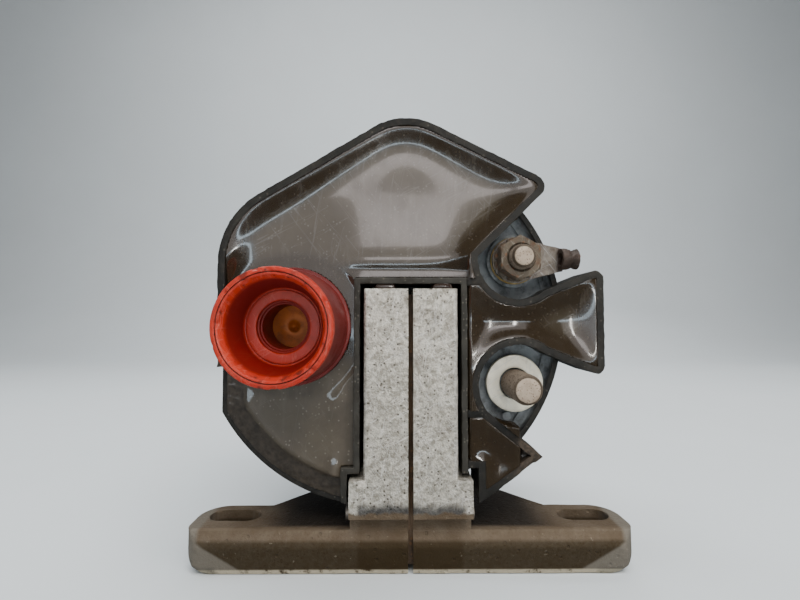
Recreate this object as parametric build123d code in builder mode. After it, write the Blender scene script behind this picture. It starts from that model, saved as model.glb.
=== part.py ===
"""Closed-core ignition coil: a moulded cup and front tray, filled with resin, on a two-piece cast bracket.

Frame: millimetres, +Z up. The coil stands on its mounting face, z = 0, and the origin is midway between
the two mounting slots on that face. +X is to the right when facing the front, and +Y points to the back,
so the high-tension tower and both studs point towards -Y. Heights "from the axis" are measured from the
coil axis, which runs along Y.
"""

import math
import os

from build123d import *

# ------------------------------------------------------------------ driving dimensions

# mounting flange
flange_length = 91.6
flange_depth = 13.7
flange_height = 8.4
flange_back_corner = 6.0
flange_front_corner = 4.0
flange_foot_round = 6.0
flange_ridge_height = 5.6
flange_ridge_slope = 0.8
flange_top_slope = 1.3
slot_spacing = 75.7
slot_length = 11.0
slot_width = 5.6
slot_to_front = 8.4
tail_half_width = 31.0
tail_end_half_width = 20.0
tail_reach = 13.0

# laminated core, a U of sheets closed by a straight bar of sheets
core_width = 13.0
sheet_count = 26
sheet_gap = 0.02
core_setback = 1.6
yoke_depth = 7.9
window_depth = 30.0
bar_height = 11.4
base_bar_height = 10.9
core_floor = 1.4
air_gap = 0.4

# cast shells round the core
shell_side = 2.8
shell_lip = 2.0
shell_cap = 0.9
core_clearance = 0.1
seam_width = 1.0
shoulder_half_width = 12.3
shoulder_bottom = 11.8
shoulder_height = 7.4
leg_edge_round = 0.7

# through rivets
rivet_radius = 1.5
rivet_head_radius = 1.8
rivet_head_height = 1.2
rivet_clearance = 0.05
rivet_height = 10.3

# coil body
coil_axis_height = 50.5
cup_centre_x = -6.0
cup_radius = 38.0
cup_wall = 1.1
cup_rib_gap = 1.0
cup_rib_wall = 1.0
cup_rib_height = 0.5
cup_back_wall = 1.8
cup_to_yoke = 0.3
left_flat_x = -39.1
rim_proud = 1.0
tray_wall = 1.4
tray_floor = 1.5
resin_below_rim = 1.8

# tray outline, heights from the axis
left_wall_end_height = -9.1
shoulder_corner_height = 21.3
shoulder_corner_round = 16.5
apex_x = -1.4
apex_height = 43.8
apex_round = 13.0
tip_x = 29.2
tip_height = 28.5
tip_round = 2.4
bridge_end_x = 39.2
bridge_end_half = 11.2
bridge_neck_x = 28.1
bridge_neck_half = 6.8
bridge_round = 1.6
divider_height = 7.4
corner_top_drop = 17.8
corner_tip_x = 26.6
corner_tip_drop = 27.1
corner_side_slope = 0.8
corner_run_slope = 0.69

# terminal bays
bay_x = 22.0
bay_height = 12.9
bay_radius = 8.3
bay_floor_below_rim = 6.0
bay_floor = 1.5
cup_rim_below_rim = 3.8

# well round the front yoke, moulded in one with the primary bobbin
well_side_gap = 0.9
well_top_gap = 1.1
well_wall = 1.2
well_below_rim = 0.2
well_step_gap = 1.0
well_shoulder_gap = 0.5
corner_to_shoulder = 1.3
fit_gap = 0.05
bobbin_clearance = 0.2
bobbin_wall = 1.0
bobbin_flange = 1.2
bobbin_flange_reach = 3.5

# windings
primary_build = 3.0
sleeve_gap = 0.05
sleeve_wall = 0.3
secondary_inner_radius = 13.9
secondary_tube = 1.1
secondary_rib_radius = 25.5
secondary_rib = 0.9
secondary_fill_radius = 23.7
chamber_count = 8
secondary_front_gap = 1.8

# high-tension tower
tower_x = -24.2
tower_drop = 0.9
tower_reach = 14.5
tower_mouth_radius = 10.6
tower_mouth_bore_radius = 8.8
tower_neck_radius = 10.2
tower_base_radius = 11.4
tower_collar_radius = 12.0
tower_collar_below_rim = 0.5
tower_bead = 2.0
tower_bead_slope = 0.6
tower_foot_to_well = 0.1
tower_foot_flange = 1.5
tower_floor = 2.0
tower_cup_depth = 8.2
tower_cup_floor_radius = 7.3
tower_bore_radius = 4.3
tower_bore_length = 9.1
tower_step = 0.35
tower_step_depth = 0.8
tower_step_count = 2
contact_radius = 4.9
contact_thickness = 1.6
contact_pin_radius = 1.3
contact_pin_length = 3.4
contact_dimple_radius = 1.1
contact_dimple_depth = 0.7

# terminal hardware
large_stud_radius = 3.0
large_stud_reach = 10.2
small_stud_radius = 2.5
small_nut_height = 4.0
small_nut_flats = 8.0
small_stud_past_nut = 2.2
stud_chamfer = 0.5
stud_shank_step = 0.3
stud_head_flats = 8.0
stud_head_height = 2.6
large_boss_height = 0.6
small_boss_height = 1.6
boss_radius = 5.6
large_washer_radius = 6.0
large_washer_thickness = 1.2
small_washer_radius = 5.0
small_washer_thickness = 1.0
washer_bore_gap = 0.2
lug_ring_radius = 4.8
lug_thickness = 0.9
lug_neck_half = 2.3
lug_barrel_start = 8.9
lug_barrel_length = 3.3
lug_barrel_radius = 2.15
lug_barrel_wall = 0.75
wire_stub_proud = 0.7
tooth_washer_radius = 4.6
tooth_washer_thickness = 0.6
tooth_count = 12
tooth_depth = 0.7
peg_height = 1.2
peg_gap = 0.25
peg_angle = 13.0

# internal leads
lead_radius = 0.45
lead_bend = 1.0
secondary_lead_stand_off = 1.2

# dabs of locking compound between the front yoke and the top of its well
dab_left_x = -5.3
dab_right_x = 6.6
dab_half_width = 2.0
dab_depth = 2.4

# ------------------------------------------------------------------ derived places

front_y = -slot_to_front
flange_back_y = front_y + flange_depth
core_front_y = front_y + core_setback
yoke_back_y = core_front_y + yoke_depth
window_back_y = yoke_back_y + window_depth
core_back_y = window_back_y + yoke_depth
leg_front_y = front_y - shell_lip
leg_back_y = core_back_y + shell_lip
core_half = core_width / 2
pocket_half = core_half + core_clearance
leg_half = pocket_half + shell_side
core_top = coil_axis_height + bar_height / 2
core_base_top = core_floor + base_bar_height
leg_top = core_top + core_clearance + shell_cap
shoulder_top = shoulder_bottom + shoulder_height

rim_y = front_y - rim_proud
resin_y = rim_y + resin_below_rim
tray_back_y = yoke_back_y
tray_floor_y = tray_back_y - tray_floor
cup_rim_y = rim_y + cup_rim_below_rim
cup_back_y = window_back_y - cup_to_yoke
cup_inner_back_y = cup_back_y - cup_back_wall
cup_inner_radius = cup_radius - cup_wall
bay_floor_y = rim_y + bay_floor_below_rim
bay_floor_back_y = bay_floor_y + bay_floor

well_y = rim_y + well_below_rim
well_half = leg_half + well_side_gap
well_top = leg_top + well_top_gap
well_outer_half = well_half + well_wall
well_outer_top = well_top + well_wall
well_step = shoulder_top + well_step_gap
well_outer_step = well_step + well_wall
well_low_half = shoulder_half_width + well_shoulder_gap
well_low_outer_half = well_low_half + well_wall
corner_left_x = shoulder_half_width + corner_to_shoulder
plate_y = yoke_back_y + bobbin_clearance
plate_back_y = plate_y + bobbin_flange
tube_half_x = core_half + bobbin_clearance + bobbin_wall
tube_half_z = bar_height / 2 + bobbin_clearance + bobbin_wall
rear_flange_y = cup_inner_back_y - fit_gap - bobbin_flange
secondary_y = plate_back_y + secondary_front_gap
secondary_back_y = cup_inner_back_y - fit_gap
chamber_pitch = (secondary_back_y - secondary_y - secondary_rib) / chamber_count

tower_z = coil_axis_height - tower_drop
tower_foot_radius = -tower_x - well_outer_half - tower_foot_to_well
tower_mouth_y = rim_y - tower_reach
tower_collar_y = rim_y + tower_collar_below_rim
tower_cup_floor_y = tower_mouth_y + tower_cup_depth
contact_y = tower_cup_floor_y + tower_bore_length
contact_back_y = contact_y + contact_thickness
tower_back_y = contact_back_y + tower_floor
contact_pin_end_y = contact_y + contact_thickness + contact_pin_length

large_stud_z = coil_axis_height - bay_height
small_stud_z = coil_axis_height + bay_height
large_boss_y = bay_floor_y - large_boss_height
large_washer_y = large_boss_y - large_washer_thickness
large_tip_y = large_washer_y - large_stud_reach
small_boss_y = bay_floor_y - small_boss_height
small_washer_y = small_boss_y - small_washer_thickness
lug_y = small_washer_y - lug_thickness
tooth_y = lug_y - tooth_washer_thickness
nut_y = tooth_y - small_nut_height
small_tip_y = nut_y - small_stud_past_nut
large_shank_radius = large_stud_radius - stud_shank_step
small_shank_radius = small_stud_radius - stud_shank_step
stud_head_back_y = bay_floor_back_y + stud_head_height
lead_run_y = plate_back_y + secondary_front_gap / 2

rivet_places = [
    (core_front_y + yoke_depth / 2, rivet_height),
    ((core_front_y + core_back_y) / 2, rivet_height),
    (core_back_y - yoke_depth / 2, rivet_height),
]

# ------------------------------------------------------------------ shared helpers


def front_plane(y):
    """The front-view drawing plane at depth y: its x is +X, its y is +Z, and it faces -Y."""
    return Plane((0, y, 0), x_dir=(1, 0, 0), z_dir=(0, -1, 0))


def slab(outline, y_low, y_high, mode=Mode.ADD):
    """Extrude a front-view outline from y_low to y_high inside the part being built."""
    with BuildSketch(front_plane(y_low)) as placed:
        add(outline.sketch_local)
    extrude(placed.sketch, amount=y_low - y_high, mode=mode)


def disc(x, z, radius, y_low, y_high, mode=Mode.ADD):
    """A round slab parallel to the front face."""
    with BuildSketch(front_plane(y_low)) as placed:
        with Locations((x, z)):
            Circle(radius)
    extrude(placed.sketch, amount=y_low - y_high, mode=mode)


def hexagon(x, z, flats, y_low, y_high, mode=Mode.ADD):
    """A hexagonal slab parallel to the front face, given its size across flats."""
    with BuildSketch(front_plane(y_low)) as placed:
        with Locations((x, z)):
            RegularPolygon(flats / 2, 6, major_radius=False)
    extrude(placed.sketch, amount=y_low - y_high, mode=mode)


def block(x_range, y_range, z_range, mode=Mode.ADD):
    """A plain box between two corners."""
    with BuildSketch(Plane.XY.offset(z_range[0])) as placed:
        with Locations((sum(x_range) / 2, sum(y_range) / 2)):
            Rectangle(x_range[1] - x_range[0], y_range[1] - y_range[0])
    extrude(placed.sketch, amount=z_range[1] - z_range[0], mode=mode)


def turned(x, z, profile, mode=Mode.ADD):
    """Revolve a closed profile of (radius, y) points about the line through (x, z) along Y."""
    with BuildSketch(Plane((x, 0, z), x_dir=(1, 0, 0), z_dir=(0, 0, 1))) as placed:
        with BuildLine():
            Polyline(*profile, close=True)
        make_face()
    revolve(placed.sketch, axis=Axis((x, 0, z), (0, 1, 0)), mode=mode)


def wire(path_points, bends):
    """A round lead swept along straight runs joined by tangent arcs."""
    with BuildLine() as path:
        FilletPolyline(*path_points, radius=bends)
    with BuildSketch(Plane(origin=path.line @ 0, z_dir=path.line % 0)) as section:
        Circle(lead_radius)
    sweep(section.sketch, path=path.line)


def round_corner(outline, point, radius):
    """Round the outline's corner nearest to a point."""
    corner = outline.vertices().sort_by_distance((point[0], point[1], 0))[0]
    fillet(corner, radius=radius)


def finish(piece, name):
    """Label a finished piece and write it as one STEP file."""
    piece.part.label = name
    export_step(piece.part, f"parts/{name}.step")


def from_axis(height):
    """A height from the coil axis as a height above the mounting face."""
    return coil_axis_height + height


os.makedirs("parts", exist_ok=True)

# ------------------------------------------------------------------ front-view outlines

# The straight side of the upper bay lies on a ray from the coil axis through the tray's tip.
ray_slope = tip_height / tip_x
bridge_slope = (bridge_end_half - bridge_neck_half) / (bridge_end_x - bridge_neck_x)
wall_reach = 3.0
far = 60.0


def bridge_half(x):
    """Half the bridge compartment's height at x, between its two straight sides."""
    return bridge_neck_half + bridge_slope * (x - bridge_neck_x)


# The straight side of the lower bay runs from the corner compartment's tip towards the well.
corner_side_start = -corner_tip_drop + corner_side_slope * corner_tip_x
ray_foot_x = (bay_x + ray_slope * bay_height) / (1 + ray_slope**2)


def corner_side(x):
    """Height from the axis of the lower bay's straight side at x."""
    return corner_side_start - corner_side_slope * x


def inset(outline, wall):
    """The space inside an outline's wall."""
    with BuildSketch() as space:
        add(outline.sketch_local)
        offset(amount=-wall, kind=Kind.INTERSECTION, mode=Mode.REPLACE)
    return space


def cut_by(outline, cutter, mode):
    """An outline cut by another, or kept only inside it."""
    with BuildSketch() as result:
        add(outline.sketch_local)
        add(cutter.sketch_local, mode=mode)
    return result


def polygon(*corners):
    """A closed outline through corners given as (x, height from the axis)."""
    with BuildSketch() as outline:
        with BuildLine():
            Polyline(*[(x, from_axis(height)) for x, height in corners], close=True)
        make_face()
    return outline


def cup_circle(radius):
    """A circle round the cup's own centre."""
    with BuildSketch() as circle:
        with Locations((cup_centre_x, coil_axis_height)):
            Circle(radius)
    return circle


def bay_circles(radius):
    """Both round pockets of the studs, or the pockets and their walls."""
    with BuildSketch() as circles:
        with Locations((bay_x, small_stud_z), (bay_x, large_stud_z)):
            Circle(radius)
    return circles


# The cup is round, but flat on the left and along the tray's upper left side.
with BuildSketch() as cup_limit:
    add(
        polygon(
            (left_flat_x, -far),
            (left_flat_x, shoulder_corner_height),
            (apex_x, apex_height),
            (far, apex_height),
            (far, -far),
        ).sketch_local
    )
    round_corner(cup_limit, (left_flat_x, from_axis(shoulder_corner_height)), shoulder_corner_round)

cup_outline = cut_by(cup_circle(cup_radius), cup_limit, Mode.INTERSECT)
cup_space = cut_by(cup_circle(cup_inner_radius), inset(cup_limit, cup_wall), Mode.INTERSECT)

# Each bay is the round pocket of a stud, opened outwards between the bridge and a straight side.
upper_side = polygon((0, 0), (far, far * ray_slope), (far, 0))
upper_wedge = polygon(
    (bay_x, bay_x * ray_slope),
    (far, far * ray_slope),
    (far, bridge_half(far)),
    (bay_x, bridge_half(bay_x)),
)
lower_side = polygon((0, corner_side(0)), (far, corner_side(far)), (far, 0), (0, 0))
lower_wedge = polygon(
    (bay_x, corner_side(bay_x)),
    (far, corner_side(far)),
    (far, -bridge_half(far)),
    (bay_x, -bridge_half(bay_x)),
)
bay_sides = cut_by(upper_side, lower_side, Mode.ADD)
bays = cut_by(bay_circles(bay_radius), bay_sides, Mode.INTERSECT)
bays = cut_by(cut_by(bays, upper_wedge, Mode.ADD), lower_wedge, Mode.ADD)


def main_tray(foot_height):
    """The tray's main compartment, round the tower and over the well, down to a foot line."""
    with BuildSketch() as outline:
        add(
            polygon(
                (left_flat_x, foot_height),
                (left_flat_x, shoulder_corner_height),
                (apex_x, apex_height),
                (tip_x, tip_height),
                (ray_foot_x, ray_foot_x * ray_slope),
                (bay_x, bay_height),
                (bay_x, divider_height),
                (0, divider_height),
                (0, foot_height),
            ).sketch_local
        )
        round_corner(outline, (left_flat_x, from_axis(shoulder_corner_height)), shoulder_corner_round)
        round_corner(outline, (apex_x, from_axis(apex_height)), apex_round)
        round_corner(outline, (tip_x, from_axis(tip_height)), tip_round)
    return outline


with BuildSketch() as bridge_shape:
    add(
        polygon(
            (0, divider_height + tray_wall),
            (bay_x, divider_height + tray_wall),
            (bridge_neck_x, bridge_neck_half),
            (bridge_end_x, bridge_end_half),
            (bridge_end_x, -bridge_end_half),
            (bridge_neck_x, -bridge_neck_half),
            (bay_x, -bay_height),
            (bay_x, -corner_top_drop - tray_wall),
            (0, -corner_top_drop - tray_wall),
        ).sketch_local
    )
    round_corner(bridge_shape, (bridge_end_x, from_axis(bridge_end_half)), bridge_round)
    round_corner(bridge_shape, (bridge_end_x, from_axis(-bridge_end_half)), bridge_round)

# The corner compartment lies under the lower bay and stops beside the bracket's shoulder.
corner_top_x = (corner_side_start + corner_top_drop) / corner_side_slope
corner_shape = polygon(
    (0, -corner_top_drop),
    (corner_top_x, -corner_top_drop),
    (corner_tip_x, -corner_tip_drop),
    (corner_left_x, -corner_tip_drop - corner_run_slope * (corner_tip_x - corner_left_x)),
    (corner_left_x, well_outer_step - coil_axis_height),
    (0, well_outer_step - coil_axis_height),
)

pockets = bay_circles(bay_radius)
walled_pockets = bay_circles(bay_radius + tray_wall)
side_wall_rise = tray_wall * math.hypot(1, ray_slope)
walled_side = polygon((0, side_wall_rise), (far, far * ray_slope + side_wall_rise), (far, 0), (0, 0))
upper_pocket = cut_by(walled_pockets, walled_side, Mode.INTERSECT)
main_outline = cut_by(main_tray(left_wall_end_height), bays, Mode.SUBTRACT)
main_space = cut_by(
    inset(main_tray(left_wall_end_height - wall_reach), tray_wall), upper_pocket, Mode.SUBTRACT
)
bridge_outline = cut_by(bridge_shape, pockets, Mode.SUBTRACT)
bridge_space = cut_by(inset(bridge_shape, tray_wall), walled_pockets, Mode.SUBTRACT)
corner_outline = cut_by(corner_shape, bays, Mode.SUBTRACT)
corner_space = inset(corner_shape, tray_wall)

with BuildSketch() as tray_outline:
    add(main_outline.sketch_local)
    add(bridge_outline.sketch_local)
    add(corner_outline.sketch_local)
    add(bays.sketch_local, mode=Mode.SUBTRACT)

with BuildSketch() as tray_space:
    add(main_space.sketch_local)
    add(bridge_space.sketch_local)
    add(corner_space.sketch_local)


def well_shape(half, top, step, low_half):
    """The well's front view: straight on the right, stepped out round the shoulder on the left."""
    with BuildSketch() as outline:
        with BuildLine():
            Polyline(
                (-low_half, 0),
                (-low_half, step),
                (-half, step),
                (-half, top),
                (half, top),
                (half, 0),
                close=True,
            )
        make_face()
    return outline


well_space = well_shape(well_half, well_top, well_step, well_low_half)
well_outer = well_shape(well_outer_half, well_outer_top, well_outer_step, well_low_outer_half)
well_seat = well_shape(
    well_outer_half + fit_gap,
    well_outer_top + fit_gap,
    well_outer_step + fit_gap,
    well_low_outer_half + fit_gap,
)

with BuildSketch() as tube_outline:
    with Locations((0, coil_axis_height)):
        Rectangle(tube_half_x * 2, tube_half_z * 2)


def round_tube(growth):
    """The bobbin tube's outline grown outwards with round corners."""
    with BuildSketch() as outline:
        add(tube_outline.sketch_local)
        offset(amount=growth, kind=Kind.ARC, mode=Mode.REPLACE)
    return outline


# ------------------------------------------------------------------ bracket

with BuildPart() as bracket_half_right:
    with BuildSketch() as flange_plan:
        with Locations((seam_width / 2, front_y)):
            Rectangle((flange_length - seam_width) / 2, flange_depth, align=(Align.MIN, Align.MIN))
        round_corner(flange_plan, (flange_length / 2, flange_back_y), flange_back_corner)
        round_corner(flange_plan, (flange_length / 2, front_y), flange_front_corner)
    extrude(amount=flange_height)
    with BuildSketch(front_plane(front_y)) as flange_face:
        Rectangle(flange_length / 2, flange_height, align=(Align.MIN, Align.MIN))
        round_corner(flange_face, (flange_length / 2, 0), flange_foot_round)
    extrude(amount=-flange_depth, mode=Mode.INTERSECT)
    with BuildSketch(Plane.YZ) as flange_side:
        with BuildLine():
            Polyline(
                (front_y + flange_ridge_slope, 0),
                (front_y, flange_ridge_height),
                (front_y + flange_top_slope, flange_height),
                (flange_back_y, flange_height),
                (flange_back_y, 0),
                close=True,
            )
        make_face()
    extrude(amount=flange_length / 2, mode=Mode.INTERSECT)
    with BuildSketch() as tail_plan:
        with BuildLine():
            Polyline(
                (seam_width / 2, front_y + flange_depth / 2),
                (tail_half_width, front_y + flange_depth / 2),
                (tail_half_width, flange_back_y),
                (tail_end_half_width, flange_back_y + tail_reach),
                (shoulder_half_width, flange_back_y + tail_reach),
                (shoulder_half_width, leg_back_y),
                (seam_width / 2, leg_back_y),
                close=True,
            )
        make_face()
    extrude(amount=flange_height)
    block((seam_width / 2, shoulder_half_width), (front_y + flange_top_slope, leg_back_y), (0, core_base_top))
    block((seam_width / 2, shoulder_half_width), (leg_front_y, yoke_back_y), (shoulder_bottom, shoulder_top))
    block((seam_width / 2, shoulder_half_width), (window_back_y, leg_back_y), (core_floor, shoulder_top))
    block((seam_width / 2, leg_half), (leg_front_y, yoke_back_y), (core_base_top, leg_top))
    block((seam_width / 2, leg_half), (window_back_y, leg_back_y), (core_base_top, leg_top))
    leg_edges = edges().filter_by(Axis.Z).filter_by_position(Axis.X, leg_half, leg_half)
    fillet(leg_edges.group_by(Axis.Y)[0] + leg_edges.group_by(Axis.Y)[-1], radius=leg_edge_round)
    pocket_y = (core_front_y - core_clearance, core_back_y + core_clearance)
    pocket_z = (core_floor - core_clearance, core_top + core_clearance)
    block((0, pocket_half), pocket_y, (pocket_z[0], core_base_top), mode=Mode.SUBTRACT)
    block((0, pocket_half), (pocket_y[0], yoke_back_y), pocket_z, mode=Mode.SUBTRACT)
    block((0, pocket_half), (window_back_y, pocket_y[1]), pocket_z, mode=Mode.SUBTRACT)
    with BuildSketch() as slots:
        with Locations((slot_spacing / 2, 0)):
            SlotOverall(slot_length, slot_width)
    extrude(amount=flange_height, mode=Mode.SUBTRACT)
    with BuildSketch(Plane.YZ) as rivet_holes:
        with Locations(*rivet_places):
            Circle(rivet_radius + rivet_clearance)
    extrude(amount=shoulder_half_width, mode=Mode.SUBTRACT)

with BuildPart() as bracket_half_left:
    mirror(bracket_half_right.part, about=Plane.YZ)

with BuildPart() as bracket_rivets:
    for side in (-1, 1):
        with BuildSketch(Plane.YZ.offset(side * shoulder_half_width)) as heads:
            with Locations(*rivet_places):
                Circle(rivet_head_radius)
        extrude(amount=side * rivet_head_height)
    with BuildSketch(Plane.YZ.offset(-shoulder_half_width)) as shanks:
        with Locations(*rivet_places):
            Circle(rivet_radius)
    extrude(amount=2 * shoulder_half_width)

# ------------------------------------------------------------------ laminated core

sheet_pitch = core_width / sheet_count
sheet_thickness = sheet_pitch - sheet_gap
sheet_starts = [-core_half + sheet_gap / 2 + number * sheet_pitch for number in range(sheet_count)]

with BuildPart() as core_u_stack:
    for start in sheet_starts:
        with BuildSketch(Plane.YZ.offset(start)) as u_sheet:
            with BuildLine():
                Polyline(
                    (core_front_y, core_floor),
                    (core_back_y, core_floor),
                    (core_back_y, core_top),
                    (window_back_y, core_top),
                    (window_back_y, core_base_top),
                    (yoke_back_y, core_base_top),
                    (yoke_back_y, core_top),
                    (core_front_y, core_top),
                    close=True,
                )
            make_face()
            with Locations(*rivet_places):
                Circle(rivet_radius + rivet_clearance, mode=Mode.SUBTRACT)
        extrude(amount=sheet_thickness)

bar_y = (yoke_back_y, window_back_y - air_gap)
with BuildPart() as core_bar_stack:
    for start in sheet_starts:
        block((start, start + sheet_thickness), bar_y, (core_top - bar_height, core_top))

with BuildPart() as core_gap_spacer:
    block((-core_half, core_half), (bar_y[1], window_back_y), (core_top - bar_height, core_top))

# ------------------------------------------------------------------ windings and their bobbins

with BuildPart() as primary_bobbin:
    slab(well_outer, well_y, plate_y)
    slab(well_space, well_y, plate_y, mode=Mode.SUBTRACT)
    slab(well_outer, plate_y, plate_back_y)
    slab(tube_outline, plate_y, cup_back_y)
    slab(round_tube(bobbin_flange_reach), rear_flange_y, rear_flange_y + bobbin_flange)
    # The well's foot follows the cup's round wall, and only its left side reaches down past the shoulder.
    disc(cup_centre_x, coil_axis_height, cup_inner_radius - fit_gap, well_y, cup_back_y, mode=Mode.INTERSECT)
    block((well_half, far), (well_y, plate_y), (0, well_step), mode=Mode.SUBTRACT)
    bar_room = (tube_half_x - bobbin_wall, tube_half_z - bobbin_wall)
    block(
        (-bar_room[0], bar_room[0]),
        (plate_y, cup_back_y),
        (coil_axis_height - bar_room[1], coil_axis_height + bar_room[1]),
        mode=Mode.SUBTRACT,
    )

with BuildPart() as primary_winding:
    slab(round_tube(primary_build), plate_back_y, rear_flange_y)
    slab(tube_outline, plate_back_y, rear_flange_y, mode=Mode.SUBTRACT)

with BuildPart() as winding_sleeve:
    slab(round_tube(primary_build + sleeve_gap + sleeve_wall), secondary_y, rear_flange_y)
    slab(round_tube(primary_build + sleeve_gap), secondary_y, rear_flange_y, mode=Mode.SUBTRACT)

with BuildPart() as secondary_bobbin:
    for number in range(chamber_count + 1):
        rib_y = secondary_y + number * chamber_pitch
        disc(0, coil_axis_height, secondary_rib_radius, rib_y, rib_y + secondary_rib)
    disc(0, coil_axis_height, secondary_inner_radius + secondary_tube, secondary_y, secondary_back_y)
    disc(0, coil_axis_height, secondary_inner_radius, secondary_y, secondary_back_y, mode=Mode.SUBTRACT)
    notch = lead_radius + fit_gap
    disc(tower_x, tower_z, notch, secondary_y, secondary_y + secondary_rib, mode=Mode.SUBTRACT)

with BuildPart() as secondary_winding:
    for number in range(chamber_count):
        turns_y = secondary_y + number * chamber_pitch + secondary_rib
        turns_back_y = turns_y + chamber_pitch - secondary_rib
        disc(0, coil_axis_height, secondary_fill_radius, turns_y, turns_back_y)
    tube_radius = secondary_inner_radius + secondary_tube
    disc(0, coil_axis_height, tube_radius, secondary_y, secondary_back_y, mode=Mode.SUBTRACT)

# ------------------------------------------------------------------ tower and its contact

bore_top_radius = tower_bore_radius + tower_step_count * tower_step
bore_steps = []
for number in range(tower_step_count):
    step_radius = bore_top_radius - number * tower_step
    step_y = tower_cup_floor_y + (number + 1) * tower_step_depth
    bore_steps += [(step_radius, step_y), (step_radius - tower_step, step_y)]

foot_y = tower_back_y - tower_foot_flange
with BuildPart() as ht_tower:
    turned(
        tower_x,
        tower_z,
        [
            (tower_mouth_bore_radius, tower_mouth_y),
            (tower_mouth_radius, tower_mouth_y),
            (tower_mouth_radius, tower_mouth_y + tower_bead),
            (tower_neck_radius, tower_mouth_y + tower_bead + tower_bead_slope),
            (tower_base_radius, tower_collar_y),
            (tower_collar_radius, tower_collar_y),
            (tower_collar_radius, foot_y),
            (tower_foot_radius, foot_y),
            (tower_foot_radius, tower_back_y),
            (contact_pin_radius, tower_back_y),
            (contact_pin_radius, contact_back_y),
            (contact_radius, contact_back_y),
            (contact_radius, contact_y),
            (tower_bore_radius, contact_y),
            *reversed(bore_steps),
            (bore_top_radius, tower_cup_floor_y),
            (tower_cup_floor_radius, tower_cup_floor_y),
        ],
    )

with BuildPart() as ht_contact_insert:
    turned(
        tower_x,
        tower_z,
        [
            (0, contact_y + contact_dimple_depth),
            (contact_dimple_radius, contact_y),
            (contact_radius, contact_y),
            (contact_radius, contact_back_y),
            (contact_pin_radius, contact_back_y),
            (contact_pin_radius, contact_pin_end_y),
            (0, contact_pin_end_y),
        ],
    )

# ------------------------------------------------------------------ internal leads

first_chamber_y = secondary_y + (secondary_rib + chamber_pitch) / 2
last_chamber_y = secondary_back_y - (secondary_rib + chamber_pitch) / 2

with BuildPart() as ht_lead:
    with BuildLine() as ht_path:
        Line((tower_x, contact_pin_end_y, tower_z), (tower_x, first_chamber_y, tower_z))
    with BuildSketch(front_plane(contact_pin_end_y)) as ht_section:
        with Locations((tower_x, tower_z)):
            Circle(lead_radius)
    sweep(path=ht_path.line)

# A lead from each stud's head runs round the front of the secondary to a corner of the primary winding.
corner_reach_x = bay_x - tube_half_x
corner_reach_z = bay_height - tube_half_z
corner_reach = math.hypot(corner_reach_x, corner_reach_z)
lead_end_x = tube_half_x + primary_build * corner_reach_x / corner_reach
lead_end_height = tube_half_z + primary_build * corner_reach_z / corner_reach


def primary_lead(side):
    """The lead from the stud above (+1) or below (-1) the coil axis to the primary winding."""
    stud_z = from_axis(side * bay_height)
    wire(
        [
            (bay_x, stud_head_back_y, stud_z),
            (bay_x, lead_run_y, stud_z),
            (lead_end_x, lead_run_y, from_axis(side * lead_end_height)),
        ],
        lead_bend,
    )


with BuildPart() as primary_lead_start:
    primary_lead(1)

with BuildPart() as primary_lead_end:
    primary_lead(-1)

# The secondary's low end runs outside its ribs, forward to the head of the large stud.
bay_reach = math.hypot(bay_x, bay_height)
lead_out = (secondary_rib_radius + secondary_lead_stand_off) / bay_reach
lead_in = secondary_fill_radius / bay_reach
with BuildPart() as secondary_lead:
    wire(
        [
            (bay_x * lead_out, stud_head_back_y, from_axis(-bay_height * lead_out)),
            (bay_x * lead_out, last_chamber_y, from_axis(-bay_height * lead_out)),
            (bay_x * lead_in, last_chamber_y, from_axis(-bay_height * lead_in)),
        ],
        lead_bend,
    )

# ------------------------------------------------------------------ housing and resin

with BuildSketch() as bay_air:
    add(bays.sketch_local)
    add(cup_space.sketch_local, mode=Mode.INTERSECT)

# Where the cup is open to the front beside the tray, below the end of the left wall.
with BuildSketch() as cup_mouth:
    add(cup_space.sketch_local)
    add(bays.sketch_local, mode=Mode.SUBTRACT)
    add(tray_outline.sketch_local, mode=Mode.SUBTRACT)

rib_radius = cup_inner_radius - cup_rib_gap
bay_rib = cut_by(cup_circle(rib_radius), cup_circle(rib_radius - cup_rib_wall), Mode.SUBTRACT)
bay_rib = cut_by(bay_rib, bays, Mode.INTERSECT)

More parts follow.
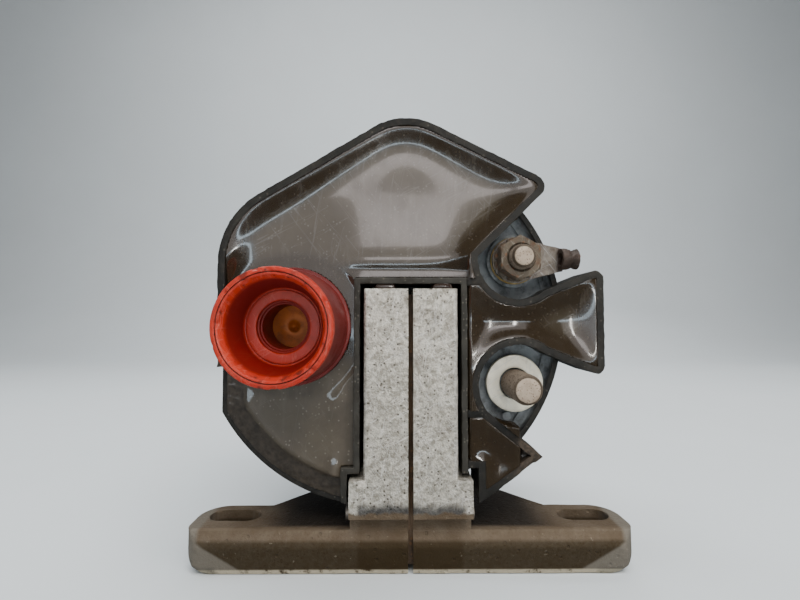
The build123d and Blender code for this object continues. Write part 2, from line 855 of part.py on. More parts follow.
with BuildPart() as coil_housing:
    slab(tray_outline, rim_y, tray_back_y)
    slab(cup_outline, cup_rim_y, cup_back_y)
    slab(bay_air, rim_y, bay_floor_y, mode=Mode.SUBTRACT)
    slab(tray_space, rim_y, tray_floor_y, mode=Mode.SUBTRACT)
    slab(cup_mouth, rim_y, bay_floor_back_y, mode=Mode.SUBTRACT)
    slab(cup_space, bay_floor_back_y, cup_inner_back_y, mode=Mode.SUBTRACT)
    slab(well_seat, rim_y, plate_y, mode=Mode.SUBTRACT)
    block((0, corner_left_x), (rim_y, plate_y), (0, well_outer_step), mode=Mode.SUBTRACT)
    block(
        (-tube_half_x - fit_gap, tube_half_x + fit_gap),
        (cup_inner_back_y, cup_back_y),
        (from_axis(-tube_half_z - fit_gap), from_axis(tube_half_z + fit_gap)),
        mode=Mode.SUBTRACT,
    )
    slab(bay_rib, bay_floor_y - cup_rib_height, bay_floor_y)
    disc(bay_x, small_stud_z, boss_radius, small_boss_y, bay_floor_y)
    disc(bay_x, large_stud_z, boss_radius, large_boss_y, bay_floor_y)
    # The peg stands between the large washer and the wall of its bay.
    peg_reach = (large_washer_radius + bay_radius) / 2
    peg_radius = (bay_radius - large_washer_radius) / 2 - peg_gap
    peg_x = bay_x - peg_reach * math.sin(math.radians(peg_angle))
    peg_z = large_stud_z - peg_reach * math.cos(math.radians(peg_angle))
    disc(peg_x, peg_z, peg_radius, bay_floor_y - peg_height, bay_floor_y)
    disc(bay_x, small_stud_z, small_shank_radius, small_boss_y, bay_floor_back_y, mode=Mode.SUBTRACT)
    disc(bay_x, large_stud_z, large_shank_radius, large_boss_y, bay_floor_back_y, mode=Mode.SUBTRACT)

with BuildPart() as potting_resin:
    slab(tray_space, resin_y, tray_floor_y)
    slab(cup_mouth, resin_y, bay_floor_back_y)
    slab(cup_space, bay_floor_back_y, cup_inner_back_y)
    slab(well_seat, resin_y, plate_back_y, mode=Mode.SUBTRACT)
    block((0, corner_left_x), (resin_y, plate_y), (0, well_outer_step), mode=Mode.SUBTRACT)
    winding_room = secondary_rib_radius + fit_gap
    disc(0, coil_axis_height, winding_room, plate_back_y, cup_inner_back_y, mode=Mode.SUBTRACT)
    disc(tower_x, tower_z, tower_collar_radius, resin_y, foot_y, mode=Mode.SUBTRACT)
    disc(tower_x, tower_z, tower_foot_radius, foot_y, tower_back_y, mode=Mode.SUBTRACT)
    disc(tower_x, tower_z, contact_pin_radius, tower_back_y, contact_pin_end_y, mode=Mode.SUBTRACT)
    disc(tower_x, tower_z, lead_radius, contact_pin_end_y, first_chamber_y, mode=Mode.SUBTRACT)
    for stud_z in (small_stud_z, large_stud_z):
        hexagon(bay_x, stud_z, stud_head_flats, bay_floor_back_y, stud_head_back_y, mode=Mode.SUBTRACT)
    for lead in (primary_lead_start, primary_lead_end, secondary_lead):
        add(lead.part, mode=Mode.SUBTRACT)

# ------------------------------------------------------------------ terminal hardware


def stud(radius, shank_radius, tip_y, washer_y, z):
    """A terminal stud: a chamfered thread up to its washer, a thinner shank and a hexagon head."""
    turned(
        bay_x,
        z,
        [
            (0, tip_y),
            (radius - stud_chamfer, tip_y),
            (radius, tip_y + stud_chamfer),
            (radius, washer_y),
            (shank_radius, washer_y),
            (shank_radius, bay_floor_back_y),
            (0, bay_floor_back_y),
        ],
    )
    hexagon(bay_x, z, stud_head_flats, bay_floor_back_y, stud_head_back_y)


def washer(z, radius, hole, y_low, y_high):
    """A flat ring round a stud."""
    disc(bay_x, z, radius, y_low, y_high)
    disc(bay_x, z, hole, y_low, y_high, mode=Mode.SUBTRACT)


with BuildPart() as terminal_stud_m6:
    stud(large_stud_radius, large_shank_radius, large_tip_y, large_washer_y, large_stud_z)

with BuildPart() as terminal_stud_m5:
    stud(small_stud_radius, small_shank_radius, small_tip_y, small_washer_y, small_stud_z)

with BuildPart() as plain_washer_m6:
    washer(large_stud_z, large_washer_radius, large_stud_radius + washer_bore_gap, large_washer_y, large_boss_y)

with BuildPart() as plain_washer_m5:
    washer(small_stud_z, small_washer_radius, small_stud_radius + washer_bore_gap, small_washer_y, small_boss_y)

barrel_x = bay_x + lug_barrel_start
barrel_y = small_washer_y - lug_barrel_radius
tongue_end_x = barrel_x + lug_thickness
with BuildPart() as ring_terminal:
    with BuildSketch(front_plane(small_washer_y)) as lug_blank:
        with BuildLine():
            Polyline(
                (bay_x, small_stud_z - lug_ring_radius),
                (tongue_end_x, small_stud_z - lug_neck_half),
                (tongue_end_x, small_stud_z + lug_neck_half),
                (bay_x, small_stud_z + lug_ring_radius),
                close=True,
            )
        make_face()
        with Locations((bay_x, small_stud_z)):
            Circle(lug_ring_radius)
            Circle(small_stud_radius + washer_bore_gap, mode=Mode.SUBTRACT)
    extrude(amount=lug_thickness)
    with BuildSketch(Plane.YZ.offset(barrel_x)) as barrel:
        with Locations((barrel_y, small_stud_z)):
            Circle(lug_barrel_radius)
            Circle(lug_barrel_radius - lug_barrel_wall, mode=Mode.SUBTRACT)
    extrude(amount=lug_barrel_length)

with BuildPart() as wire_stub:
    with BuildSketch(Plane.YZ.offset(tongue_end_x)) as strands:
        with Locations((barrel_y, small_stud_z)):
            Circle(lug_barrel_radius - lug_barrel_wall)
    extrude(amount=barrel_x + lug_barrel_length + wire_stub_proud - tongue_end_x)

with BuildPart() as lock_washer_m5:
    with BuildSketch(front_plane(lug_y)) as toothed_ring:
        with Locations((bay_x, small_stud_z)):
            Circle(tooth_washer_radius)
            Circle(small_stud_radius + washer_bore_gap, mode=Mode.SUBTRACT)
            with PolarLocations(tooth_washer_radius, tooth_count):
                Rectangle(2 * tooth_depth, tooth_depth, mode=Mode.SUBTRACT)
    extrude(amount=tooth_washer_thickness)

with BuildPart() as hex_nut_m5:
    hexagon(bay_x, small_stud_z, small_nut_flats, nut_y, tooth_y)
    disc(bay_x, small_stud_z, small_stud_radius, nut_y, tooth_y, mode=Mode.SUBTRACT)

with BuildPart() as core_locking_beads:
    for dab_x in (dab_left_x, dab_right_x):
        block((dab_x - dab_half_width, dab_x + dab_half_width), (well_y, well_y + dab_depth), (leg_top, well_top))

# ------------------------------------------------------------------ finished pieces

pieces = {
    "bracket_half_left": bracket_half_left,
    "bracket_half_right": bracket_half_right,
    "bracket_rivets": bracket_rivets,
    "core_u_stack": core_u_stack,
    "core_bar_stack": core_bar_stack,
    "core_gap_spacer": core_gap_spacer,
    "core_locking_beads": core_locking_beads,
    "primary_bobbin": primary_bobbin,
    "primary_winding": primary_winding,
    "winding_sleeve": winding_sleeve,
    "secondary_bobbin": secondary_bobbin,
    "secondary_winding": secondary_winding,
    "coil_housing": coil_housing,
    "potting_resin": potting_resin,
    "ht_tower": ht_tower,
    "ht_contact_insert": ht_contact_insert,
    "ht_lead": ht_lead,
    "primary_lead_start": primary_lead_start,
    "primary_lead_end": primary_lead_end,
    "secondary_lead": secondary_lead,
    "terminal_stud_m6": terminal_stud_m6,
    "plain_washer_m6": plain_washer_m6,
    "terminal_stud_m5": terminal_stud_m5,
    "plain_washer_m5": plain_washer_m5,
    "ring_terminal": ring_terminal,
    "wire_stub": wire_stub,
    "lock_washer_m5": lock_washer_m5,
    "hex_nut_m5": hex_nut_m5,
}
for name, piece in pieces.items():
    finish(piece, name)
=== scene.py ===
"""Ignition coil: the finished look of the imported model, one class for each sub-assembly.

Lengths in the classes are millimetres in the row's frame, +Z up from the mounting face and -Y towards the
front. Finished meshes are metres, with each object at the origin.
"""

import logging
import math
from dataclasses import dataclass
from enum import Enum
from typing import Callable, Iterable, Sequence

import bmesh
import bpy
import numpy as np
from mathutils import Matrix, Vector, noise


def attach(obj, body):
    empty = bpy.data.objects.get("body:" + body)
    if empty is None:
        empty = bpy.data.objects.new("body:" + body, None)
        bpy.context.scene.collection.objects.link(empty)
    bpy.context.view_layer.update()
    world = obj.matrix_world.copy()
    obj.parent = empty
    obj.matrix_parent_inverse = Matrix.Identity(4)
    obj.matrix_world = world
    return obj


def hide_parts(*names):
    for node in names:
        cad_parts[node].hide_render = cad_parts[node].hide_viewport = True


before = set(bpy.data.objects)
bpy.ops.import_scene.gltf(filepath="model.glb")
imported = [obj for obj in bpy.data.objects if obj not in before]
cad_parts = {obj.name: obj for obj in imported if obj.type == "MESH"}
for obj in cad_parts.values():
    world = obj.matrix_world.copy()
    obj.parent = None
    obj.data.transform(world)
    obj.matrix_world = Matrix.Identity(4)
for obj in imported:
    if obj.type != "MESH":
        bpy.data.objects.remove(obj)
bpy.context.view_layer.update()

log = logging.getLogger("ignition_coil")
MM = 0.001

Colour = tuple[float, float, float]
Mesh = bmesh.types.BMesh
Socket = bpy.types.NodeSocket


# ------------------------------------------------------------------ shader graph helpers


class Graph:
    """A node tree with short calls for adding nodes and wiring their inputs."""

    def __init__(self, tree: bpy.types.NodeTree) -> None:
        """Keep the tree.

        Args:
            tree: the material's or group's node tree.
        """
        self.tree = tree

    def add(self, kind: str, settings: dict | None = None, **inputs: object) -> bpy.types.Node:
        """Add a node, set its options and connect or set its inputs.

        Args:
            kind: the node's Blender type name.
            settings: option names and values.
            **inputs: input names, with underscores for spaces, and a value or an output socket.

        Returns:
            The new node.
        """
        node = self.tree.nodes.new(kind)
        for name, value in (settings or {}).items():
            setattr(node, name, value)
        for name, value in inputs.items():
            self.feed(node, name.replace("_", " "), value)
        return node

    def feed(self, node: bpy.types.Node, name: str, value: object) -> None:
        """Connect a socket to an input, or set the input's value.

        Args:
            node: the node with the input.
            name: the input's name, or its number as text.
            value: an output socket, a number or a tuple.
        """
        socket = node.inputs[int(name)] if name.isdigit() else node.inputs[name]
        if isinstance(value, Socket):
            self.tree.links.new(value, socket)
        elif isinstance(value, tuple) and len(value) == 3 and socket.type == "RGBA":
            socket.default_value = (*value, 1.0)
        else:
            socket.default_value = value

    def math(self, operation: str, a: object, b: object = 0.0) -> Socket:
        """The clamped result of a math node with two inputs.

        Args:
            operation: the node's operation.
            a: the first value.
            b: the second value.

        Returns:
            The result.
        """
        node = self.add("ShaderNodeMath", {"operation": operation, "use_clamp": True})
        self.feed(node, "0", a)
        self.feed(node, "1", b)
        return node.outputs[0]

    def times(self, a: object, b: object) -> Socket:
        """The clamped product of two values."""
        return self.math("MULTIPLY", a, b)

    def free(self, operation: str, *values: object) -> Socket:
        """The result of a math node without a clamp.

        Args:
            operation: the node's operation.
            *values: its inputs in order.

        Returns:
            The result.
        """
        node = self.add("ShaderNodeMath", {"operation": operation})
        for number, value in enumerate(values):
            self.feed(node, str(number), value)
        return node.outputs[0]

    def split(self, where: Socket) -> Sequence[Socket]:
        """The X, Y and Z of a place.

        Args:
            where: the coordinates.

        Returns:
            The X, Y and Z.
        """
        node = self.add("ShaderNodeSeparateXYZ")
        self.feed(node, "0", where)
        return node.outputs

    def ramp(self, value: object, low: float, high: float) -> Socket:
        """A smooth step of a value from low to high.

        Args:
            value: the value.
            low: where the step starts.
            high: where it ends.

        Returns:
            0 before the step and 1 after it.
        """
        smooth = {"interpolation_type": "SMOOTHSTEP"}
        node = self.add("ShaderNodeMapRange", smooth, From_Min=low, From_Max=high)
        self.feed(node, "Value", value)
        return node.outputs["Result"]

    def mix(self, mask: object, a: object, b: object) -> Socket:
        """A colour mixed from a to b by a mask.

        Args:
            mask: 0 for a and 1 for b.
            a: the first value.
            b: the second value.

        Returns:
            The mixed colour.
        """
        node = self.add("ShaderNodeMix", {"data_type": "RGBA"})
        self.feed(node, "0", mask)
        self.feed(node, "6", a)
        self.feed(node, "7", b)
        return node.outputs[2]

    def blend(self, mask: object, a: object, b: object) -> Socket:
        """A number mixed from a to b by a mask.

        Args:
            mask: 0 for a and 1 for b.
            a: the first value.
            b: the second value.

        Returns:
            The mixed number.
        """
        node = self.add("ShaderNodeMix", {"data_type": "FLOAT"})
        self.feed(node, "0", mask)
        self.feed(node, "2", a)
        self.feed(node, "3", b)
        return node.outputs[0]

    def noise(self, where: object, scale: float, detail: float = 4.0) -> Socket:
        """Fractal noise from 0 to 1 at a scale in waves per metre.

        Args:
            where: the coordinates.
            scale: waves per metre.
            detail: the noise's detail.

        Returns:
            The noise.
        """
        node = self.add("ShaderNodeTexNoise", Scale=scale, Detail=detail, Roughness=0.6)
        self.feed(node, "Vector", where)
        return node.outputs[0]

    def stretched(self, where: object, scale: tuple, turn: tuple = (0.0, 0.0, 0.0)) -> Socket:
        """Coordinates turned and stretched by a Mapping node.

        Args:
            where: the coordinates.
            scale: the stretch along each axis.
            turn: the turn about each axis.

        Returns:
            The new coordinates.
        """
        node = self.add("ShaderNodeMapping", Scale=scale, Rotation=turn)
        self.feed(node, "Vector", where)
        return node.outputs[0]

    def attribute(self, name: str) -> Socket:
        """The value of a mesh attribute."""
        node = self.add("ShaderNodeAttribute", {"attribute_name": name})
        return node.outputs["Fac"]


class Effect(Enum):
    """Shader node groups that several finishes share."""

    MOTTLE = "mottle"
    SCRATCHES = "scratches"
    SPECKLE = "speckle"


def group_sockets(tree: bpy.types.NodeTree, numbers: dict[str, float], outputs: Sequence[str]) -> None:
    """Give a node group its Vector input, number inputs and number outputs.

    Args:
        tree: the group's tree.
        numbers: number inputs and their default values.
        outputs: names of the outputs.
    """
    tree.interface.new_socket("Vector", in_out="INPUT", socket_type="NodeSocketVector")
    for name, value in numbers.items():
        socket = tree.interface.new_socket(name, in_out="INPUT", socket_type="NodeSocketFloat")
        socket.default_value = value
    for name in outputs:
        tree.interface.new_socket(name, in_out="OUTPUT", socket_type="NodeSocketFloat")


def build_mottle(graph: Graph) -> None:
    """Soft patches: noise at a scale, pushed to a mask between two levels.

    Args:
        graph: the material's graph.
    """
    group_sockets(graph.tree, {"Scale": 100.0, "Low": 0.4, "High": 0.6}, ["Mask"])
    source = graph.add("NodeGroupInput")
    cloud = graph.add("ShaderNodeTexNoise", Detail=6.0, Roughness=0.65)
    graph.feed(cloud, "Vector", source.outputs["Vector"])
    graph.feed(cloud, "Scale", source.outputs["Scale"])
    step = graph.add("ShaderNodeMapRange", {"interpolation_type": "SMOOTHSTEP"})
    graph.feed(step, "Value", cloud.outputs[0])
    graph.feed(step, "From Min", source.outputs["Low"])
    graph.feed(step, "From Max", source.outputs["High"])
    graph.add("NodeGroupOutput", Mask=step.outputs["Result"])


def build_scratches(graph: Graph) -> None:
    """Fine crossing scratches: thin bands of stretched noise in three directions.

    Args:
        graph: the material's graph.
    """
    group_sockets(graph.tree, {"Scale": 60.0, "Width": 0.03}, ["Mask"])
    source = graph.add("NodeGroupInput")
    masks = []
    for turn, stretch in ((0.5, 14.0), (-0.9, 20.0), (1.4, 17.0)):
        turned = graph.stretched(source.outputs["Vector"], (1.0, 1.0, 1.0), (0.2, turn, 0.1))
        where = graph.stretched(turned, (1.0, 1.0, stretch))
        streak = graph.add("ShaderNodeTexNoise", Detail=2.0, Roughness=0.5, Distortion=0.4)
        graph.feed(streak, "Vector", where)
        graph.feed(streak, "Scale", source.outputs["Scale"])
        masks.append(graph.free("COMPARE", streak.outputs[0], 0.62, source.outputs["Width"]))
    total = graph.math("MAXIMUM", graph.math("MAXIMUM", masks[0], masks[1]), masks[2])
    graph.add("NodeGroupOutput", Mask=total)


def build_speckle(graph: Graph) -> None:
    """Small round specks, such as pits, dust or chips, thinned out by noise.

    Args:
        graph: the material's graph.
    """
    group_sockets(graph.tree, {"Scale": 900.0, "Size": 0.25, "Amount": 0.5}, ["Mask"])
    source = graph.add("NodeGroupInput")
    cells = graph.add("ShaderNodeTexVoronoi", Randomness=1.0)
    graph.feed(cells, "Vector", source.outputs["Vector"])
    graph.feed(cells, "Scale", source.outputs["Scale"])
    dot = graph.add("ShaderNodeMapRange", {"interpolation_type": "SMOOTHSTEP"}, To_Min=1.0, To_Max=0.0)
    graph.feed(dot, "Value", cells.outputs["Distance"])
    graph.feed(dot, "From Min", graph.times(source.outputs["Size"], 0.5))
    graph.feed(dot, "From Max", source.outputs["Size"])
    pick = graph.add("ShaderNodeSeparateColor")
    graph.feed(pick, "0", cells.outputs["Color"])
    chosen = graph.math("LESS_THAN", pick.outputs[0], source.outputs["Amount"])
    graph.add("NodeGroupOutput", Mask=graph.times(dot.outputs["Result"], chosen))


EFFECT_BUILDERS: dict[Effect, Callable[[Graph], None]] = {
    Effect.MOTTLE: build_mottle,
    Effect.SCRATCHES: build_scratches,
    Effect.SPECKLE: build_speckle,
}


def effect_tree(kind: Effect) -> bpy.types.NodeTree:
    """The shared node group of an effect, built at its first use.

    Args:
        kind: the effect.

    Returns:
        The node group.
    """
    tree = bpy.data.node_groups.get(kind.value)
    if tree is None:
        tree = bpy.data.node_groups.new(kind.value, "ShaderNodeTree")
        EFFECT_BUILDERS[kind](Graph(tree))
    return tree


def effect(graph: Graph, kind: Effect, where: Socket, **inputs: float) -> Socket:
    """Place an effect in a material.

    Args:
        graph: the material's graph.
        kind: which shared effect.
        where: the coordinates that it reads.
        **inputs: its named values.

    Returns:
        The effect's mask.
    """
    node = graph.add("ShaderNodeGroup", {"node_tree": effect_tree(kind)}, **inputs)
    graph.feed(node, "Vector", where)
    return node.outputs["Mask"]


def mottle(graph: Graph, where: Socket, scale: float, low: float, high: float) -> Socket:
    """A mask of soft patches."""
    return effect(graph, Effect.MOTTLE, where, Scale=scale, Low=low, High=high)


def speckle(graph: Graph, where: Socket, scale: float, size: float, amount: float) -> Socket:
    """A mask of small round specks."""
    return effect(graph, Effect.SPECKLE, where, Scale=scale, Size=size, Amount=amount)


# ------------------------------------------------------------------ finishes


@dataclass(frozen=True)
class Finish:
    """A surface finish: two base tones, dirt, scratches, specks and grain."""

    name: str
    tone: Colour
    second: Colour
    dirt: Colour = (0.03, 0.025, 0.02)
    metallic: float = 0.0
    roughness: float = 0.5
    patch_scale: float = 90.0
    patch_low: float = 0.35
    patch_high: float = 0.7
    dirt_amount: float = 0.4
    dirt_scale: float = 260.0
    scratch_tone: Colour = (0.6, 0.6, 0.6)
    scratch_strength: float = 0.0
    scratch_scale: float = 60.0
    speck_tone: Colour = (0.02, 0.015, 0.01)
    speck_strength: float = 0.0
    speck_scale: float = 900.0
    speck_amount: float = 0.35
    grain_scale: float = 2600.0
    grain_depth: float = 0.00003
    coat: float = 0.0
    coat_roughness: float = 0.1
    specular: float = 0.5

    def colours(self, graph: Graph, where: Socket) -> Socket:
        """The base colour before dirt, mixed from the two tones."""
        patches = mottle(graph, where, self.patch_scale, self.patch_low, self.patch_high)
        return graph.mix(patches, self.tone, self.second)

    def build(self) -> bpy.types.Material:
        """Make the material, once for each name.

        Returns:
            The Blender material.
        """
        title = f"finish_{self.name}"
        ready = bpy.data.materials.get(title)
        if ready:
            return ready
        material = bpy.data.materials.new(title)
        material.use_nodes = True
        material.node_tree.nodes.clear()
        graph = Graph(material.node_tree)
        where = graph.add("ShaderNodeTexCoord").outputs["Object"]
        colour = self.colours(graph, where)
        grime = mottle(graph, where, self.dirt_scale, 0.45, 0.75)
        colour = graph.mix(graph.times(grime, self.dirt_amount), colour, self.dirt)
        dull = min(1.0, self.roughness + 0.25)
        rough = graph.blend(graph.times(grime, 0.6), self.roughness, dull)
        if self.scratch_strength:
            marks = effect(graph, Effect.SCRATCHES, where, Scale=self.scratch_scale, Width=0.012)
            marks = graph.times(marks, self.scratch_strength)
            colour = graph.mix(marks, colour, self.scratch_tone)
            rough = graph.blend(marks, rough, 0.6)
        if self.speck_strength:
            specks = speckle(graph, where, self.speck_scale, 0.4, self.speck_amount)
            colour = graph.mix(graph.times(specks, self.speck_strength), colour, self.speck_tone)
        colour, rough = self.dress(graph, where, colour, rough)
        metal = self.metal(graph, where)
        shader = graph.add("ShaderNodeBsdfPrincipled", Base_Color=colour, Roughness=rough, Metallic=metal)
        shader.inputs["Coat Weight"].default_value = self.coat
        shader.inputs["Coat Roughness"].default_value = self.coat_roughness
        shader.inputs["Specular IOR Level"].default_value = self.specular
        grain = graph.noise(where, self.grain_scale, 5.0)
        bump = graph.add("ShaderNodeBump", Strength=1.0, Distance=self.grain_depth)
        graph.feed(bump, "Height", self.relief(graph, where, grain))
        graph.feed(shader, "Normal", bump.outputs[0])
        graph.add("ShaderNodeOutputMaterial", Surface=shader.outputs[0])
        return material

    def dress(self, graph: Graph, where: Socket, colour: object, rough: object) -> tuple[object, object]:
        """Change the colour and roughness where a finish has marks of its own."""
        return colour, rough

    def metal(self, graph: Graph, where: Socket) -> object:
        """How metallic the surface is."""
        return self.metallic

    def relief(self, graph: Graph, where: Socket, grain: object) -> object:
        """The height that feeds the bump."""
        return grain


@dataclass(frozen=True)
class CastFinish(Finish):
    """Bare cast aluminium, cleaner on the legs and stained brown on the foot."""

    stain: Colour = (0.105, 0.074, 0.046)
    stain_light: Colour = (0.150, 0.115, 0.080)
    stain_low: Colour = (0.036, 0.023, 0.009)
    end_tone: Colour = (0.19, 0.17, 0.14)
    shade_tone: Colour = (0.012, 0.008, 0.006)
    black_band: Colour = (0.022, 0.022, 0.027)
    chip_tone: Colour = (0.50, 0.44, 0.33)
    fleck_tone: Colour = (0.42, 0.38, 0.30)
    bare_tone: Colour = (0.8, 0.785, 0.76)
    stain_top: float = 0.0143
    clean_from: float = 0.0137
    crease: float = 0.0063
    end_slope: float = 1.55

    def stained(self, graph: Graph, where: Socket) -> Socket:
        """The foot's colour: brown, with painted shade on its lower front face and a painted shadow of the
        coil on its top, bare at its ends and bottom edge.

        Args:
            graph: the material's graph.
            where: the coordinates.

        Returns:
            The colour.
        """
        x, y, z = graph.split(where)
        colour = graph.mix(mottle(graph, where, 130.0, 0.35, 0.7), self.stain, self.stain_light)
        # Painted shade on the lower front face of the foot, below its crease.
        low = graph.ramp(z, 0.0070, 0.0061)
        colour = graph.mix(graph.times(low, 0.9), colour, self.stain_low)
        side = graph.math("ABSOLUTE", x)
        # Painted shadow of the coil over the top of the foot, in shade_tone.
        coil_shadow = graph.times(graph.ramp(side, 0.0330, 0.0240), graph.ramp(y, -0.0062, -0.0046))
        colour = graph.mix(graph.times(coil_shadow, 0.93), colour, self.shade_tone)
        drop = graph.math("SUBTRACT", self.crease, z)
        end = graph.ramp(graph.free("MULTIPLY_ADD", drop, self.end_slope, side), 0.0425, 0.0437)
        colour = graph.mix(graph.times(end, 0.85), colour, self.end_tone)
        chips = mottle(graph, where, 420.0, 0.32, 0.48)
        colour = graph.mix(graph.times(graph.ramp(z, 0.0010, 0.0006), chips), colour, self.chip_tone)
        flecks = mottle(graph, where, 950.0, 0.64, 0.72)
        return graph.mix(graph.times(flecks, 0.35), colour, self.fleck_tone)

    def dress(self, graph: Graph, where: Socket, colour: object, rough: object) -> tuple[object, object]:
        """Stain the foot, paint shade on the downward-facing foot of the leg above it, and bare the rounded
        edges.

        Args:
            graph: the material's graph.
            where: the coordinates.
            colour: the colour so far.
            rough: the roughness so far.

        Returns:
            The new colour and roughness.
        """
        x, _, z = graph.split(where)
        ragged = graph.times(graph.noise(where, 420.0), 0.0022)
        height = graph.free("ADD", z, ragged)
        foot = graph.ramp(height, self.stain_top, self.clean_from)
        side = graph.math("ABSOLUTE", x)
        # Painted shade: a blue-black band on the downward-facing round at the foot of each leg.
        band = graph.times(graph.ramp(height, 0.0166, 0.0144), graph.ramp(side, 0.0112, 0.0100))
        colour = graph.mix(graph.times(band, 0.85), colour, self.black_band)
        colour = graph.mix(graph.times(foot, 0.97), colour, self.stained(graph, where))
        bare = graph.times(graph.attribute("edge_wear"), graph.noise(where, 500.0))
        bare = graph.times(bare, graph.blend(foot, 0.55, 0.05))
        return graph.mix(bare, colour, self.bare_tone), graph.blend(foot, rough, 0.42)

    def metal(self, graph: Graph, where: Socket) -> object:
        """Less metallic where the foot is stained."""
        clean = graph.ramp(graph.split(where)[2], 0.0135, 0.0125)
        return graph.blend(clean, self.metallic, 0.25)

    def relief(self, graph: Graph, where: Socket, grain: object) -> object:
        """Coarse casting skin with open pits.

        Args:
            graph: the material's graph.
            where: the coordinates.
            grain: the fine grain so far.

        Returns:
            The height.
        """
        coarse = graph.noise(where, 900.0, 3.0)
        pits = speckle(graph, where, 700.0, 0.3, 0.25)
        return graph.free("SUBTRACT", graph.free("ADD", grain, coarse), pits)


@dataclass(frozen=True)
class ResinFinish(Finish):
    """Dark cast resin: glossy, with painted dark brown shade where it climbs the walls, dull and scratched
    where it broke.
    """

    edge_tone: Colour = (0.022, 0.013, 0.005)
    broken_tone: Colour = (0.060, 0.045, 0.030)
    crumb_tone: Colour = (0.028, 0.02, 0.013)
    dust_tone: Colour = (0.20, 0.185, 0.16)
    film_tone: Colour = (0.115, 0.091, 0.058)

    def dress(self, graph: Graph, where: Socket, colour: object, rough: object) -> tuple[object, object]:
        """Use the climb, dust and broken attributes of the cast surface.

        Args:
            graph: the material's graph.
            where: the coordinates.
            colour: the colour so far.
            rough: the roughness so far.

        Returns:
            The new colour and roughness.
        """
        climb = graph.attribute("climb")
        broken = graph.attribute("broken")
        settled = graph.attribute("dust")
        # Painted shade: the resin darkens to dark brown where it climbs the walls.
        colour = graph.mix(graph.times(graph.ramp(climb, 0.12, 0.5), 0.9), colour, self.edge_tone)
        specks = speckle(graph, where, 1500.0, 0.35, 0.22)
        haze = mottle(graph, where, 70.0, 0.4, 0.7)
        brushed = mottle(graph, graph.stretched(where, (1.0, 1.0, 0.16)), 700.0, 0.5, 0.72)
        film = graph.times(graph.times(brushed, haze), 0.22)
        colour = graph.mix(film, colour, self.dust_tone)
        dusty = graph.times(specks, graph.blend(settled, graph.blend(climb, 0.3, 0.02), 0.75))
        colour = graph.mix(dusty, colour, self.dust_tone)
        layer = mottle(graph, where, 210.0, 0.25, 0.75)
        film = graph.times(settled, graph.blend(layer, 0.3, 0.62))
        colour = graph.mix(film, colour, self.film_tone)
        crumble = mottle(graph, where, 900.0, 0.35, 0.7)
        torn = graph.mix(crumble, self.broken_tone, self.crumb_tone)
        colour = graph.mix(broken, colour, torn)
        rough = graph.blend(graph.times(haze, 0.35), rough, 0.3)
        rough = graph.blend(settled, rough, 0.48)
        return colour, graph.blend(broken, rough, 0.5)


@dataclass(frozen=True)
class MouldFinish(Finish):
    """Black moulding with worn edges, dusty bay floors and rough brown breaks."""

    dust_tone: Colour = (0.34, 0.37, 0.39)
    break_tone: Colour = (0.095, 0.07, 0.05)
    crumb_tone: Colour = (0.03, 0.024, 0.018)
    wear_tone: Colour = (0.13, 0.125, 0.115)

    def dress(self, graph: Graph, where: Socket, colour: object, rough: object) -> tuple[object, object]:
        """Use the edge_wear, dust and broken attributes.

        Args:
            graph: the material's graph.
            where: the coordinates.
            colour: the colour so far.
            rough: the roughness so far.

        Returns:
            The new colour and roughness.
        """
        wear = graph.times(graph.attribute("edge_wear"), graph.noise(where, 700.0))
        colour = graph.mix(graph.times(wear, 0.5), colour, self.wear_tone)
        powder = mottle(graph, where, 260.0, 0.25, 0.6)
        dusty = graph.times(graph.attribute("dust"), graph.times(powder, 0.9))
        colour = graph.mix(dusty, colour, self.dust_tone)
        broken = graph.attribute("broken")
        crumbs = mottle(graph, where, 1000.0, 0.35, 0.65)
        torn = graph.mix(crumbs, self.break_tone, self.crumb_tone)
        colour = graph.mix(graph.times(broken, 0.9), colour, torn)
        return colour, graph.blend(graph.math("MAXIMUM", broken, dusty), rough, 0.75)


@dataclass(frozen=True)
class TowerFinish(Finish):
    """Glossy red moulding, dirty and chipped at its mouth, with painted shade inside its cup, on its outer
    side and in its rim groove.
    """

    chip_tone: Colour = (0.035, 0.012, 0.008)
    deep_tone: Colour = (0.15, 0.003, 0.003)
    side_tone: Colour = (0.085, 0.012, 0.012)
    smear_tone: Colour = (0.15, 0.022, 0.02)

    def dress(self, graph: Graph, where: Socket, colour: object, rough: object) -> tuple[object, object]:
        """Use the wear, depth, groove and side attributes of the moulding; depth, side and groove carry
        painted shade.

        Args:
            graph: the material's graph.
            where: the coordinates.
            colour: the colour so far.
            rough: the roughness so far.

        Returns:
            The new colour and roughness.
        """
        wear = graph.attribute("wear")
        chips = mottle(graph, where, 330.0, 0.56, 0.66)
        fine = speckle(graph, where, 1300.0, 0.4, 0.14)
        grime = graph.times(graph.math("MAXIMUM", chips, fine), wear)
        # Painted shade: the outer side of the tower darkens to a patchy maroon.
        side = graph.attribute("side")
        side_shade_patches = mottle(graph, where, 160.0, 0.3, 0.7)
        side_shade = graph.mix(side_shade_patches, self.side_tone, self.smear_tone)
        colour = graph.mix(graph.times(side, 0.92), colour, side_shade)
        # Painted shade inside the cup and down the bore, by the depth attribute.
        colour = graph.mix(graph.times(graph.attribute("depth"), 0.9), colour, self.deep_tone)
        colour = graph.mix(graph.times(grime, 0.7), colour, self.chip_tone)
        # Painted shade in the rim groove, drawn as a dark line in the chip colour.
        colour = graph.mix(graph.times(graph.attribute("groove"), 0.8), colour, self.chip_tone)
        return colour, graph.blend(graph.attribute("depth"), graph.blend(grime, rough, 0.7), 0.62)


